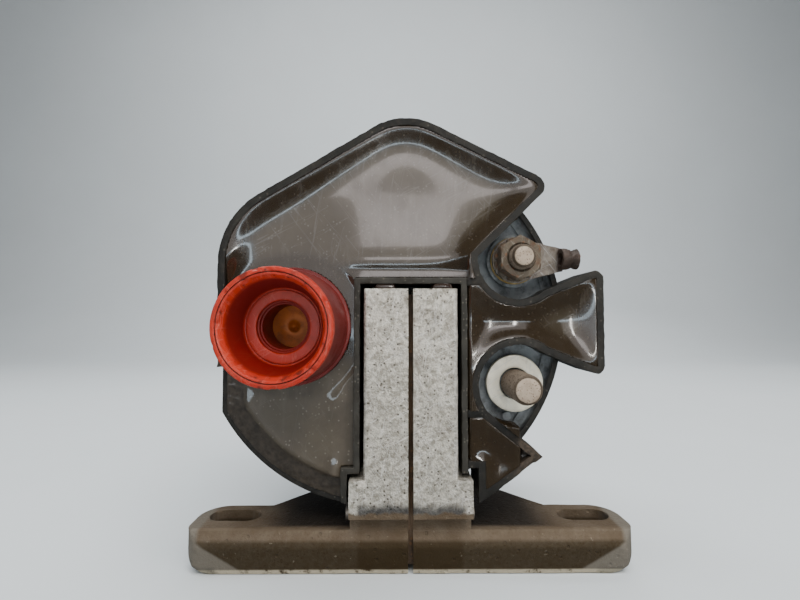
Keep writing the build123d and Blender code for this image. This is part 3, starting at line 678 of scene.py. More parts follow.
@dataclass(frozen=True)
class LugFinish(Finish):
    """Tinned lug whose crimped barrel has gone dark brown."""

    barrel_tone: Colour = (0.065, 0.040, 0.028)
    barrel_dark: Colour = (0.032, 0.020, 0.014)

    def dress(self, graph: Graph, where: Socket, colour: object, rough: object) -> tuple[object, object]:
        """Brown the barrel.

        Args:
            graph: the material's graph.
            where: the coordinates.
            colour: the colour so far.
            rough: the roughness so far.

        Returns:
            The new colour and roughness.
        """
        patches = mottle(graph, where, 500.0, 0.3, 0.7)
        brown = graph.mix(patches, self.barrel_tone, self.barrel_dark)
        barrel = graph.attribute("barrel")
        return graph.mix(graph.times(barrel, 0.92), colour, brown), graph.blend(barrel, rough, 0.5)


@dataclass(frozen=True)
class ThreadFinish(Finish):
    """Plated steel thread, darkened by painted shade and grime along its threaded shank and most in its
    roots, with a speckled end.
    """

    # Root colour: painted shade and grime in the thread roots.
    grime: Colour = (0.036, 0.024, 0.014)

    def dress(self, graph: Graph, where: Socket, colour: object, rough: object) -> tuple[object, object]:
        """Darken by the root attribute.

        Args:
            graph: the material's graph.
            where: the coordinates.
            colour: the colour so far.
            rough: the roughness so far.

        Returns:
            The new colour and roughness.
        """
        root = graph.attribute("root")
        colour = graph.mix(graph.times(root, 0.9), colour, self.grime)
        return colour, graph.blend(root, rough, 0.75)


CAST = CastFinish(
    "cast_aluminium", (0.69, 0.65, 0.565), (0.38, 0.35, 0.29), dirt=(0.15, 0.125, 0.10), metallic=0.55,
    roughness=0.4, patch_scale=1100.0, patch_low=0.38, patch_high=0.62, dirt_amount=0.55, dirt_scale=330.0,
    scratch_strength=0.5, scratch_tone=(0.9, 0.88, 0.84), scratch_scale=110.0,
    speck_strength=0.8, speck_tone=(0.07, 0.058, 0.045), speck_scale=1500.0, speck_amount=0.2,
    grain_scale=2600.0, grain_depth=0.00012, specular=0.1,
)
RESIN = ResinFinish(
    "cast_resin", (0.060, 0.047, 0.030), (0.045, 0.034, 0.021), dirt=(0.026, 0.018, 0.010), roughness=0.1,
    dirt_amount=0.3, dirt_scale=120.0, scratch_strength=0.12, scratch_tone=(0.24, 0.23, 0.22),
    grain_scale=700.0, grain_depth=0.000004, coat=0.5, coat_roughness=0.04, specular=0.6,
)
HOUSING = MouldFinish(
    "black_moulding", (0.013, 0.0125, 0.011), (0.026, 0.024, 0.02), dirt=(0.060, 0.048, 0.036), roughness=0.5,
    dirt_amount=0.35, dirt_scale=500.0, scratch_strength=0.07, scratch_tone=(0.12, 0.11, 0.10), specular=0.25,
    speck_strength=0.28, speck_tone=(0.16, 0.14, 0.11), speck_amount=0.12, speck_scale=1400.0,
    grain_scale=2400.0, grain_depth=0.00007,
)
WELL = MouldFinish(
    "grey_moulding", (0.027, 0.0255, 0.021), (0.050, 0.046, 0.038), dirt=(0.02, 0.016, 0.011), roughness=0.6,
    dirt_amount=0.6, speck_strength=0.5, speck_tone=(0.17, 0.15, 0.12), speck_amount=0.25, speck_scale=1600.0,
    grain_scale=2200.0, grain_depth=0.00008, specular=0.3,
)
RED = TowerFinish(
    "red_moulding", (0.50, 0.036, 0.015), (0.41, 0.024, 0.011), dirt=(0.14, 0.025, 0.015), roughness=0.3,
    dirt_amount=0.4, dirt_scale=300.0, scratch_strength=0.12, scratch_tone=(0.8, 0.3, 0.22),
    grain_scale=1300.0, grain_depth=0.00002, coat=0.06, coat_roughness=0.2, specular=0.28,
)
STUD = ThreadFinish(
    "tarnished_stud", (0.56, 0.46, 0.36), (0.42, 0.33, 0.25), dirt=(0.2, 0.13, 0.08), metallic=0.4,
    roughness=0.5, dirt_amount=0.4, dirt_scale=700.0, speck_strength=0.85, speck_tone=(0.13, 0.08, 0.05),
    speck_scale=2900.0, speck_amount=0.6, specular=0.3, grain_scale=4200.0, grain_depth=0.00006,
)
BRIGHT = Finish(
    "bright_washer", (0.97, 0.92, 0.77), (0.86, 0.80, 0.62), dirt=(0.42, 0.36, 0.27), metallic=0.3,
    roughness=0.4, dirt_amount=0.35, dirt_scale=500.0, scratch_strength=0.3, grain_scale=3000.0,
)
YELLOW = Finish(
    "yellow_washer", (0.74, 0.52, 0.17), (0.62, 0.46, 0.22), dirt=(0.28, 0.18, 0.08), metallic=0.6,
    roughness=0.38, dirt_amount=0.45, dirt_scale=600.0, grain_scale=3000.0,
)
NUT = Finish(
    "rusty_nut", (0.145, 0.118, 0.085), (0.065, 0.047, 0.032), dirt=(0.13, 0.045, 0.015), metallic=0.25,
    roughness=0.5, dirt_amount=0.6, dirt_scale=800.0, scratch_strength=0.25, specular=0.3,
    scratch_tone=(0.5, 0.46, 0.38),
    speck_strength=0.4, speck_tone=(0.3, 0.12, 0.05), grain_scale=3000.0, grain_depth=0.00007,
)
LUG = LugFinish(
    "tarnished_lug", (0.105, 0.079, 0.062), (0.25, 0.22, 0.18), dirt=(0.055, 0.034, 0.025), metallic=0.3,
    roughness=0.42, dirt_amount=0.7, dirt_scale=350.0, patch_scale=220.0, scratch_strength=0.3,
    speck_strength=0.5, speck_tone=(0.08, 0.045, 0.03), grain_scale=1800.0, grain_depth=0.00009,
)
BRASS = Finish(
    "brass_contact", (0.66, 0.18, 0.022), (0.50, 0.12, 0.015), dirt=(0.12, 0.05, 0.012), metallic=0.1,
    specular=0.2, roughness=0.35, dirt_amount=0.5, dirt_scale=500.0, grain_scale=2500.0,
)
COMPOUND = Finish(
    "locking_compound", (0.022, 0.013, 0.009), (0.04, 0.024, 0.016), roughness=0.16, dirt_amount=0.3,
    grain_scale=700.0, grain_depth=0.00002, coat=0.4,
)
CORE = Finish(
    "core_sheet_edges", (0.16, 0.10, 0.055), (0.07, 0.05, 0.035), dirt=(0.03, 0.02, 0.012), metallic=0.4,
    roughness=0.6, dirt_amount=0.6, speck_strength=0.4, speck_tone=(0.3, 0.14, 0.05), grain_depth=0.00008,
)
COPPER = Finish(
    "enamelled_copper", (0.45, 0.17, 0.07), (0.33, 0.11, 0.045), metallic=0.8, roughness=0.3, dirt_amount=0.3,
)
CARD = Finish(
    "pressboard", (0.42, 0.33, 0.2), (0.35, 0.27, 0.16), roughness=0.8, dirt_amount=0.4, grain_depth=0.00006,
)
STEEL = Finish(
    "plain_rivet", (0.38, 0.35, 0.31), (0.26, 0.22, 0.18), dirt=(0.15, 0.08, 0.04), metallic=0.8,
    roughness=0.45, dirt_amount=0.5, grain_depth=0.00005,
)


# ------------------------------------------------------------------ mesh helpers (millimetres)


def from_cad(node: str) -> Mesh:
    """A merged and simplified copy of a CAD node's mesh, in millimetres.

    Args:
        node: the CAD node's name.

    Returns:
        The copy, with flat regions joined into single faces.
    """
    mesh = bmesh.new()
    mesh.from_mesh(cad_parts[node].data)
    bmesh.ops.scale(mesh, vec=(1 / MM,) * 3, verts=mesh.verts)
    bmesh.ops.remove_doubles(mesh, verts=mesh.verts, dist=0.004)
    bmesh.ops.dissolve_limit(
        mesh, angle_limit=math.radians(1.0), use_dissolve_boundaries=False, verts=mesh.verts, edges=mesh.edges
    )
    return mesh


def sharp_edges(
    mesh: Mesh, degrees: float = 30.0, where: Callable[[Vector], bool] | None = None
) -> list[bmesh.types.BMEdge]:
    """The edges that turn by more than an angle, kept to those whose middle passes a test.

    Args:
        mesh: the mesh.
        degrees: the smallest turn that counts.
        where: a test of an edge's middle.

    Returns:
        The edges.
    """
    limit = math.radians(degrees)
    found = []
    for edge in mesh.edges:
        if len(edge.link_faces) != 2 or edge.calc_length() < 0.02:
            continue
        middle = (edge.verts[0].co + edge.verts[1].co) / 2
        if edge.calc_face_angle(0.0) > limit and (where is None or where(middle)):
            found.append(edge)
    return found


def soften(
    mesh: Mesh,
    width: float,
    segments: int = 3,
    degrees: float = 30.0,
    where: Callable[[Vector], bool] | None = None,
) -> None:
    """Round the sharp edges and mark the rounds in the edge_wear attribute.

    Args:
        mesh: the mesh to change.
        width: the round's width in millimetres.
        segments: its number of faces across.
        degrees: the smallest turn that counts as sharp.
        where: a test of an edge's middle.
    """
    wear = mesh.verts.layers.float.get("edge_wear") or mesh.verts.layers.float.new("edge_wear")
    result = bmesh.ops.bevel(
        mesh,
        geom=sharp_edges(mesh, degrees, where),
        offset=width,
        offset_type="OFFSET",
        segments=segments,
        profile=0.5,
        affect="EDGES",
        clamp_overlap=True,
        material=-1,
    )
    rounds = set(result["faces"])
    for vert in result["verts"]:
        if vert.is_valid and all(face in rounds for face in vert.link_faces):
            vert[wear] = 1.0
    bmesh.ops.remove_doubles(mesh, verts=mesh.verts, dist=0.001)


def clean_wear(mesh: Mesh, largest: float) -> None:
    """Keep the edge_wear attribute to the rounds, off every vertex that touches a face above a size.

    Args:
        mesh: the mesh, with its grid already cut.
        largest: the area of the largest face that counts as part of a round.
    """
    wear = mesh.verts.layers.float["edge_wear"]
    for vert in mesh.verts:
        if vert[wear] > 0 and any(face.calc_area() > largest for face in vert.link_faces):
            vert[wear] = 0.0


def slice_grid(
    mesh: Mesh,
    step: float,
    axes: str = "xyz",
    low: Sequence[float] = (-60, -30, -2),
    high: Sequence[float] = (60, 50, 100),
    near: Callable[[np.ndarray], np.ndarray] | None = None,
) -> None:
    """Cut the faces inside a box along evenly spaced planes, so that they can be shaped.

    Args:
        mesh: the mesh to cut.
        step: distance between planes.
        axes: which axes the planes stand across.
        low: the box's lowest corner.
        high: its highest corner.
        near: picks which faces are cut from the (x, z) of their middles.
    """
    for axis in axes:
        index = "xyz".index(axis)
        normal = Vector((0, 0, 0))
        normal[index] = 1.0
        reach = [vert.co[index] for vert in mesh.verts]
        start = max(low[index], min(reach))
        end = min(high[index], max(reach))
        count = int((end - start) / step)
        for number in range(1, count + 1):
            place = start + number * step
            if end - place < step * 0.3:
                continue
            faces = []
            for face in mesh.faces:
                across = [vert.co[index] for vert in face.verts]
                if min(across) >= place - 1e-4 or max(across) <= place + 1e-4:
                    continue
                middle = face.calc_center_median()
                if all(low[side] <= middle[side] <= high[side] for side in range(3)):
                    faces.append(face)
            if near and faces:
                chosen = near(np.array([(f.calc_center_median().x, f.calc_center_median().z) for f in faces]))
                faces = [face for face, keep in zip(faces, chosen) if keep]
            edges = {edge for face in faces for edge in face.edges}
            verts = {vert for face in faces for vert in face.verts}
            bmesh.ops.bisect_plane(
                mesh, geom=[*verts, *edges, *faces], dist=1e-4, plane_co=normal * place, plane_no=normal
            )


def wobble(
    mesh: Mesh, depth: float, size: float, where: Callable[[Vector], float] | None = None
) -> None:
    """Push vertices along their normals by smooth noise, as a cast or moulded skin varies.

    Args:
        mesh: the mesh to change.
        depth: the most that a vertex moves.
        size: the noise's feature size.
        where: a strength from 0 to 1 at a place.
    """
    mesh.normal_update()
    for vert in mesh.verts:
        strength = where(vert.co) if where else 1.0
        if strength > 0.0:
            vert.co += vert.normal * depth * strength * noise.noise(vert.co / size)


class Lathe:
    """A turned piece round an axis along Y, whose radius may vary round the axis."""

    def __init__(self, x: float, z: float, around: int = 96) -> None:
        """Set the axis.

        Args:
            x: the axis's X.
            z: the axis's height.
            around: vertices round the axis.
        """
        self.x = x
        self.z = z
        self.around = around

    def turn(
        self,
        profile: Sequence[tuple[float, float]],
        warp: Callable[[float, float, float], tuple[float, float]] | None = None,
    ) -> Mesh:
        """Turn a profile.

        Args:
            profile: (radius, y) points; a closed loop repeats its first point at the end.
            warp: changes (angle, radius, y) to (radius, y).

        Returns:
            The closed mesh.
        """
        mesh = bmesh.new()
        rows = len(profile) - 1
        made = bmesh.ops.create_grid(mesh, x_segments=self.around, y_segments=rows, size=1.0)
        for vert in made["verts"]:
            angle = math.pi * (vert.co.x + 1.0)
            row = min(rows, max(0, round((vert.co.y + 1.0) / 2.0 * rows)))
            radius, y = profile[row]
            if warp and radius > 0:
                radius, y = warp(angle, radius, y)
            vert.co = (self.x + radius * math.cos(angle), y, self.z + radius * math.sin(angle))
        bmesh.ops.remove_doubles(mesh, verts=mesh.verts, dist=0.0005)
        bmesh.ops.recalc_face_normals(mesh, faces=mesh.faces)
        return mesh


def rounded(
    points: Sequence[tuple[float, float]], radius: float, steps: int = 4, closed: bool = False
) -> list[tuple[float, float]]:
    """A profile with its corners rounded.

    Args:
        points: the corners.
        radius: the round's radius, made smaller where a side is short.
        steps: faces across each round.
        closed: whether the last corner joins the first.

    Returns:
        The rounded points.
    """
    places = [Vector(point) for point in points]
    count = len(places)
    result: list[Vector] = []
    for index, corner in enumerate(places):
        if not closed and index in (0, count - 1):
            result.append(corner)
            continue
        before = places[index - 1] - corner
        after = places[(index + 1) % count] - corner
        if before.length < 1e-6 or after.length < 1e-6:
            result.append(corner)
            continue
        turn = before.angle(after)
        if turn > math.radians(172):
            result.append(corner)
            continue
        reach = min(radius / math.tan(turn / 2), before.length * 0.45, after.length * 0.45)
        start = corner + before.normalized() * reach
        end = corner + after.normalized() * reach
        for step in range(steps + 1):
            share = step / steps
            result.append(start * (1 - share) ** 2 + corner * 2 * share * (1 - share) + end * share**2)
    if closed:
        result.append(result[0])
    return [(place.x, place.y) for place in result]


def subdivided(points: Sequence[tuple[float, float]], longest: float) -> list[tuple[float, float]]:
    """A profile with its long runs divided.

    Args:
        points: the profile.
        longest: the longest run that is left.

    Returns:
        The new profile.
    """
    result = [points[0]]
    for start, end in zip(points, points[1:]):
        length = math.dist(start, end)
        pieces = max(1, math.ceil(length / longest))
        for number in range(1, pieces + 1):
            share = number / pieces
            result.append((start[0] + (end[0] - start[0]) * share, start[1] + (end[1] - start[1]) * share))
    return result


def join(target: Mesh, *others: Mesh) -> Mesh:
    """Add other meshes to one and free them.

    Args:
        target: the mesh that grows.
        *others: the meshes to add.

    Returns:
        The mesh that grew.
    """
    for other in others:
        held = bpy.data.meshes.new("held")
        other.to_mesh(held)
        target.from_mesh(held)
        bpy.data.meshes.remove(held)
        other.free()
    return target


def show(
    mesh: Mesh,
    name: str,
    finish: Finish,
    replaced: Iterable[str],
    smooth: float = 35.0,
) -> bpy.types.Object:
    """Turn a mesh in millimetres into a finished piece.

    Args:
        mesh: the mesh, which is freed.
        name: the piece's name.
        finish: its finish.
        replaced: the CAD nodes that it stands for.
        smooth: the angle in degrees below which edges are shaded smooth.

    Returns:
        The new object.
    """
    bmesh.ops.scale(mesh, vec=(MM,) * 3, verts=mesh.verts)
    data = bpy.data.meshes.new(name)
    mesh.to_mesh(data)
    mesh.free()
    data.polygons.foreach_set("use_smooth", [True] * len(data.polygons))
    data.set_sharp_from_angle(angle=math.radians(smooth))
    piece = bpy.data.objects.new(name, data)
    bpy.context.scene.collection.objects.link(piece)
    data.materials.append(finish.build())
    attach(piece, "root")
    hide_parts(*replaced)
    log.info("%s: %d faces", name, len(data.polygons))
    return piece


def smooth_step(value: float, low: float, high: float) -> float:
    """0 below low, 1 above high and a smooth step between."""
    share = min(1.0, max(0.0, (value - low) / (high - low)))
    return share * share * (3 - 2 * share)


# ------------------------------------------------------------------ sub-assemblies


@dataclass
class Bracket:
    """The two cast halves that hold the core, and their rivets."""

    edge_round: float = 0.45
    grid: float = 1.6

    def half(self, side: str) -> None:
        """Build one casting half with rounded edges and a slightly uneven skin.

        Args:
            side: left or right.
        """
        node = f"bracket_half_{side}"
        mesh = from_cad(node)
        soften(mesh, self.edge_round, 3, 35.0, lambda p: p.y < 8 or p.y > 30 or p.z < 9)
        slice_grid(mesh, self.grid)
        clean_wear(mesh, 0.8)
        wobble(mesh, 0.09, 5.0)
        wobble(mesh, 0.03, 1.4, lambda p: 1.0 if p.y < 0 else 0.3)
        show(mesh, f"cast_half_{side}", CAST, [node])

    def rivets(self) -> None:
        """Build the rivets with domed heads."""
        mesh = from_cad("bracket_rivets")
        soften(mesh, 0.5, 3, 40.0)
        show(mesh, "rivet_heads", STEEL, ["bracket_rivets"])

    def build(self) -> None:
        """Build both halves and the rivets."""
        self.half("left")
        self.half("right")
        self.rivets()


@dataclass
class Housing:
    """The moulded cup with its front tray, and the frame round the front yoke."""

    rim_y: float = -9.4
    rim_round: float = 0.22
    grid: float = 1.1
    bay_floor: tuple[float, float] = (-5.5, -2.9)
    rim_depth: float = 2.6

    def torn(self, place: Vector) -> float:
        """How far the rim has broken away at a place, from 0 to 1.

        Args:
            place: a place in millimetres.

        Returns:
            The share that is torn.
        """
        x, z = place.x, place.z
        wall = 0.0
        if x < -36.5 and z < 46.0:
            wall = smooth_step(-z, -46.0, -42.0)
        corner = 0.0
        if x > 19.0 and z < 34.5:
            corner = smooth_step(x, 19.0, 23.5) * smooth_step(-z, -34.5, -31.5)
        return max(wall, corner)

    def chip(self, mesh: Mesh) -> None:
        """Break the rim where it is torn and give the whole rim rough flash.

        Args:
            mesh: the mesh.
        """
        for vert in mesh.verts:
            depth = vert.co.y - self.rim_y
            if depth > self.rim_depth:
                continue
            near = 1 - smooth_step(depth, 0.2, self.rim_depth)
            rough = noise.noise(vert.co / 0.9) * 0.5 + noise.noise(vert.co / 2.6) * 0.5
            torn = self.torn(vert.co)
            bite = max(0.0, noise.noise(Vector((vert.co.x, 3.0, vert.co.z)) / 1.7) + 0.25)
            vert.co.y += near * (max(0.0, rough - 0.1) * 0.4 + torn * (0.35 + 1.5 * bite))
            vert.co.x += near * 0.16 * noise.noise(vert.co / 0.8 + Vector((9, 0, 0)))
            vert.co.z += near * 0.16 * noise.noise(vert.co / 0.8 + Vector((0, 0, 9)))

    def dust(self, mesh: Mesh) -> None:
        """Mark the bay floors as dusty and the torn parts as rough.

        Args:
            mesh: the mesh.
        """
        dusty = mesh.verts.layers.float.new("dust")
        torn = mesh.verts.layers.float.new("broken")
        for vert in mesh.verts:
            if self.bay_floor[0] < vert.co.y < self.bay_floor[1] and vert.co.x > 10:
                vert[dusty] = 1.0
            if vert.co.y < self.rim_y + 3:
                vert[torn] = self.torn(vert.co)

    def build(self) -> None:
        """Build the housing and the well frame."""
        mesh = from_cad("coil_housing")
        soften(mesh, self.rim_round, 2, 40.0, lambda p: p.y < -2.0)
        slice_grid(mesh, self.grid, "xz", high=(60, -2.0, 100))
        slice_grid(mesh, 0.9, "y", high=(60, -5.0, 100))
        slice_grid(mesh, 4.0, "xz", low=(-60, -2.0, -2))
        clean_wear(mesh, 0.4)
        self.dust(mesh)
        self.chip(mesh)
        show(mesh, "cup_and_tray", HOUSING, ["coil_housing"])
        frame_mesh = from_cad("primary_bobbin")
        soften(frame_mesh, 0.25, 2, 40.0, lambda p: p.y < 1.0)
        slice_grid(frame_mesh, 1.0, high=(60, 1.0, 100))
        clean_wear(frame_mesh, 0.4)
        wobble(frame_mesh, 0.14, 1.6, lambda p: 1 - smooth_step(p.y, -9.0, -4.0))
        wobble(frame_mesh, 0.10, 0.8, lambda p: 1 - smooth_step(p.y, -9.0, -7.0))
        show(frame_mesh, "well_frame", WELL, ["primary_bobbin"])


@dataclass
class Resin:
    """The cast filling, which climbs the walls that it touched while it set."""

    level: float = -7.6
    climb: float = 1.9
    reach: float = 1.75
    wall_step: float = 0.3
    grid: float = 0.6
    fine_reach: float = 2.4
    cup_centre: tuple[float, float] = (-6.0, 50.5)
    cup_radius: float = 36.9
    left_wall: float = -38.2
    tower: tuple[float, float] = (-24.2, 49.6)
    bevel_width: float = 4.6
    bevel_drop: float = 1.5

    def broken(self, x: float, z: float) -> float:
        """Where the wall has broken off the resin's edge, from 0 to 1.

        Args:
            x: the X.
            z: the height.

        Returns:
            The share that is broken.
        """
        if z < 42.0 and x < 0:
            edge = smooth_step(self.inside(x, z), self.bevel_width - 0.5, self.bevel_width)
            return (1 - edge) * smooth_step(-z, -42.0, -40.0)
        return 0.0

    def inside(self, x: float, z: float) -> float:
        """How far a place lies inside the cup's round wall and the tray's left wall."""
        away = math.hypot(x - self.cup_centre[0], z - self.cup_centre[1])
        return min(self.cup_radius - away, x - self.left_wall)

    def wetting(self, x: float, z: float) -> float:
        """How fully the resin climbs at a place: less on the tower's collar and the well frame.

        Args:
            x: the X.
            z: the height.

        Returns:
            The share of the full climb.
        """
        tower = smooth_step(math.dist((x, z), self.tower), 14.5, 20.0)
        beside = max(abs(x) - 11.5, z - 59.5)
        frame_side = 0.15 + 0.85 * smooth_step(beside, 1.5, 5.0) if x < 12.0 else 1.0
        return 0.03 + 0.97 * min(tower, frame_side)

    def crumbled(self, x: float, z: float) -> float:
        """Where the lower right corner has crumbled, from 0 to 1.

        Args:
            x: the X.
            z: the height.

        Returns:
            The share that has crumbled.
        """
        if x < 14 or z > 34:
            return 0.0
        return smooth_step(x + 0.4 * noise.noise(Vector((x, 0, z)) / 2.0), 21.5, 23.0)

    def build(self) -> None:
        """Shape the front surface by its distance to the walls."""
        mesh = from_cad("potting_resin")
        climb = mesh.verts.layers.float.new("climb")
        torn = mesh.verts.layers.float.new("broken")
        dusty = mesh.verts.layers.float.new("dust")
        facing = [face for face in mesh.faces if face.normal.y < -0.99]
        front = {face for face in facing if abs(face.calc_center_median().y - self.level) < 0.02}
        sides = [edge for face in facing if face in front for edge in face.edges]
        rim = [edge for edge in sides if not front.issuperset(edge.link_faces)]
        segments = np.array([[*edge.verts[0].co, *edge.verts[1].co] for edge in rim])[:, [0, 2, 3, 5]]
        band = 0.05
        reach = {"low": (-60, self.level - band, -2), "high": (60, self.level + band, 100)}
        slice_grid(mesh, self.grid, "xz", **reach)
        reach["near"] = lambda places: self.distance(places, segments) < self.fine_reach
        slice_grid(mesh, self.grid / 2, "xz", **reach)
        surface = [v for v in mesh.verts if abs(v.co.y - self.level) < band]
        places = np.array([(v.co.x, v.co.z) for v in surface])
        for vert, rise in zip(surface, self.rise(places, segments)):
            x, z = vert.co.x, vert.co.z
            place = Vector((x, 0, z))
            broken = self.broken(x, z)
            crumbled = self.crumbled(x, z)
            edge = 1 - max(broken, crumbled)
            height = self.climb * rise * edge * self.wetting(x, z)
            height += 0.05 * noise.noise(place / 14.0) * max(0.0, 1 - rise)
            if broken > 0:
                inside = max(0.0, self.inside(x, z))
                drop = self.bevel_drop * max(0.0, 1 - inside / self.bevel_width) + 0.15
                drop += 0.16 * noise.noise(place / 0.8) + 0.2 * noise.noise(place / 3.0)
                height -= drop * broken
            if crumbled > 0:
                lump = noise.noise(Vector((x, 5, z)) / 1.3) + 0.6 * noise.noise(Vector((x, 9, z)) / 0.6)
                height += crumbled * (0.75 * lump - 0.35)
            vert.co.y -= height
            vert[climb] = min(1.0, rise) * edge
            vert[torn] = max(broken, crumbled)
            vert[dusty] = smooth_step(-x, 4.0, 12.0) * smooth_step(-z, -46.0, -40.0) * (1 - broken)
        for vert in mesh.verts:
            if vert[torn] == 0 and vert.co.y > self.level + band:
                vert[torn] = 1.0 if vert.co.y < -2.5 and vert.co.z < 42 else 0.0
        show(mesh, "cast_resin", RESIN, ["potting_resin"], smooth=60.0)

    def rise(self, places: np.ndarray, segments: np.ndarray) -> np.ndarray:
        """How far the resin is drawn up at each place by all the walls together.

        Args:
            places: (n, 2) places.
            segments: (m, 4) ends of the walls' lines.

        Returns:
            n shares, 1 beside a straight wall and more in its inside corners.
        """
        points, weights = [], []
        for ax, az, bx, bz in segments:
            length = math.hypot(bx - ax, bz - az)
            pieces = max(1, math.ceil(length / self.wall_step))
            for number in range(pieces):
                share = (number + 0.5) / pieces
                points.append((ax + (bx - ax) * share, az + (bz - az) * share))
                weights.append(length / pieces)
        walls, weight = np.array(points), np.array(weights)
        total = np.zeros(len(places))
        for first in range(0, len(places), 2000):
            part = places[first : first + 2000]
            away = np.hypot(part[:, None, 0] - walls[None, :, 0], part[:, None, 1] - walls[None, :, 1])
            total[first : first + 2000] = (np.exp(-away / self.reach) * weight).sum(1)
        return 1.3 * np.tanh(total / (2 * self.reach) / 1.3)

    @staticmethod
    def distance(places: np.ndarray, segments: np.ndarray) -> np.ndarray:
        """Distance in the front view from each place to the nearest segment.

        Args:
            places: (n, 2) places.
            segments: (m, 4) ends.

        Returns:
            n distances.
        """
        start, end = segments[:, :2], segments[:, 2:]
        run = end - start
        length = np.maximum((run**2).sum(1), 1e-12)
        best = np.full(len(places), 1e9)
        for index in range(len(segments)):
            share = np.clip(((places - start[index]) @ run[index]) / length[index], 0, 1)
            foot = start[index] + share[:, None] * run[index]
            best = np.minimum(best, np.hypot(*(places - foot).T))
        return best


@dataclass
class Tower:
    """The high-tension tower with its stepped cup, contact and collar."""

    x: float = -24.2
    z: float = 49.6
    mouth_y: float = -23.9
    rim_radius: float = 10.6
    cup_radius: float = 8.8
    floor_radius: float = 7.3
    floor_y: float = -15.7
    neck_radius: float = 10.2
    base_radius: float = 11.4
    collar_radius: float = 12.0
    foot_radius: float = 12.6
    collar_y: float = -8.9
    foot_y: float = -4.5
    back_y: float = -3.0
    contact_y: float = -6.6
    contact_radius: float = 4.9
    pin_radius: float = 1.3
    groove_radius: float = 9.62

    def chipped(self, angle: float, radius: float, y: float) -> tuple[float, float]:
        """Nick the rim's edges and let the moulding vary a little.

        Args:
            angle: the angle round the axis.
            radius: the point's radius.
            y: the point's Y.

        Returns:
            The new radius and Y.
        """
        place = Vector((radius * math.cos(angle), y, radius * math.sin(angle)))
        near = 1 - smooth_step(y - self.mouth_y, 0.6, 2.4)
        nick = max(0.0, noise.noise(place / 1.1) - 0.28) * near
        soft = noise.noise(place / 5.0) * 0.05
        if radius > self.cup_radius - 0.5:
            outwards = 1 if radius > 9.8 else -1
            return radius + soft - 0.5 * nick * outwards, y + 0.9 * nick + 0.02 * near
        return radius + soft * 0.4, y

    def build(self) -> None:
        """Turn the tower and its contact."""
        outside = [
            (self.rim_radius - 0.6, self.mouth_y),
            (self.rim_radius, self.mouth_y + 0.15),
            (self.rim_radius, self.mouth_y + 2.0),
            (self.neck_radius, self.mouth_y + 2.6),
            (self.base_radius, self.collar_y),
            (self.collar_radius, self.collar_y),
            (self.collar_radius, self.foot_y),
            (self.foot_radius, self.foot_y),
            (self.foot_radius, self.back_y),
            (self.pin_radius, self.back_y),
            (self.pin_radius, self.contact_y + 1.6),
            (self.contact_radius, self.contact_y + 1.6),
            (self.contact_radius, self.contact_y),
        ]
        bore = [
            (4.3, self.contact_y),
            (4.3, self.floor_y + 1.6),
            (4.65, self.floor_y + 1.6),
            (4.65, self.floor_y + 0.8),
            (5.0, self.floor_y + 0.8),
            (5.0, self.floor_y),
            (self.floor_radius - 0.35, self.floor_y),
            (self.floor_radius - 0.35, self.floor_y + 0.3),
            (self.floor_radius, self.floor_y + 0.3),
            (self.cup_radius - 0.15, self.mouth_y + 1.1),
            (self.cup_radius + 0.35, self.mouth_y + 0.1),
            (self.groove_radius - 0.1, self.mouth_y),
            (self.groove_radius - 0.06, self.mouth_y + 0.2),
            (self.groove_radius + 0.06, self.mouth_y + 0.2),
            (self.groove_radius + 0.1, self.mouth_y),
        ]
        profile = subdivided(rounded(outside + bore, 0.5, 4, closed=True), 0.7)
        mesh = Lathe(self.x, self.z, 144).turn(profile, self.chipped)
        wear = mesh.verts.layers.float.new("wear")
        depth = mesh.verts.layers.float.new("depth")
        groove = mesh.verts.layers.float.new("groove")
        side = mesh.verts.layers.float.new("side")
        for vert in mesh.verts:
            away = math.hypot(vert.co.x - self.x, vert.co.z - self.z)
            back = vert.co.y - self.mouth_y
            vert[wear] = max(1 - smooth_step(back, 0.3, 2.2), 0.35 * smooth_step(back, 9.0, 13.0))
            # depth: painted shade on the cup wall and down the bore.
            inside = away < 9.2
            vert[depth] = smooth_step(back, 0.8, 2.6) * (1.0 if 6.9 < away and inside and back < 8.1 else 0.0)
            if away < 5.1 and 8.3 < back < 17.4:
                vert[depth] = 0.8
            # groove: painted shade in the rim groove.
            vert[groove] = 1 - smooth_step(abs(away - self.groove_radius), 0.05, 0.16) if back < 0.5 else 0.0
            # side: painted shade on the outer side of the tower.
            vert[side] = smooth_step(back, 1.6, 3.2) if away > 9.7 else 0.0
        show(mesh, "tower_moulding", RED, ["ht_tower"], smooth=50.0)

        contact = [
            (0.0, self.contact_y + 0.7),
            (0.35, self.contact_y + 0.62),
            (1.1, self.contact_y),
            (1.5, self.contact_y - 0.12),
            (2.6, self.contact_y - 0.05),
            (3.2, self.contact_y),
            (self.contact_radius, self.contact_y),
            (self.contact_radius, self.contact_y + 1.6),
            (self.pin_radius, self.contact_y + 1.6),
            (self.pin_radius, self.contact_y + 5.0),
            (0.0, self.contact_y + 5.0),
        ]
        insert = Lathe(self.x, self.z, 64).turn(subdivided(contact, 0.6))
        show(insert, "tower_contact", BRASS, ["ht_contact_insert"])


@dataclass
class StudSpec:
    """The sizes of one threaded stud, with places along Y."""

    name: str
    node: str
    x: float
    z: float
    radius: float
    pitch: float
    tip_y: float
    thread_end_y: float
    back_y: float = -1.9
    head_back_y: float = 0.7
    head_flats: float = 8.0


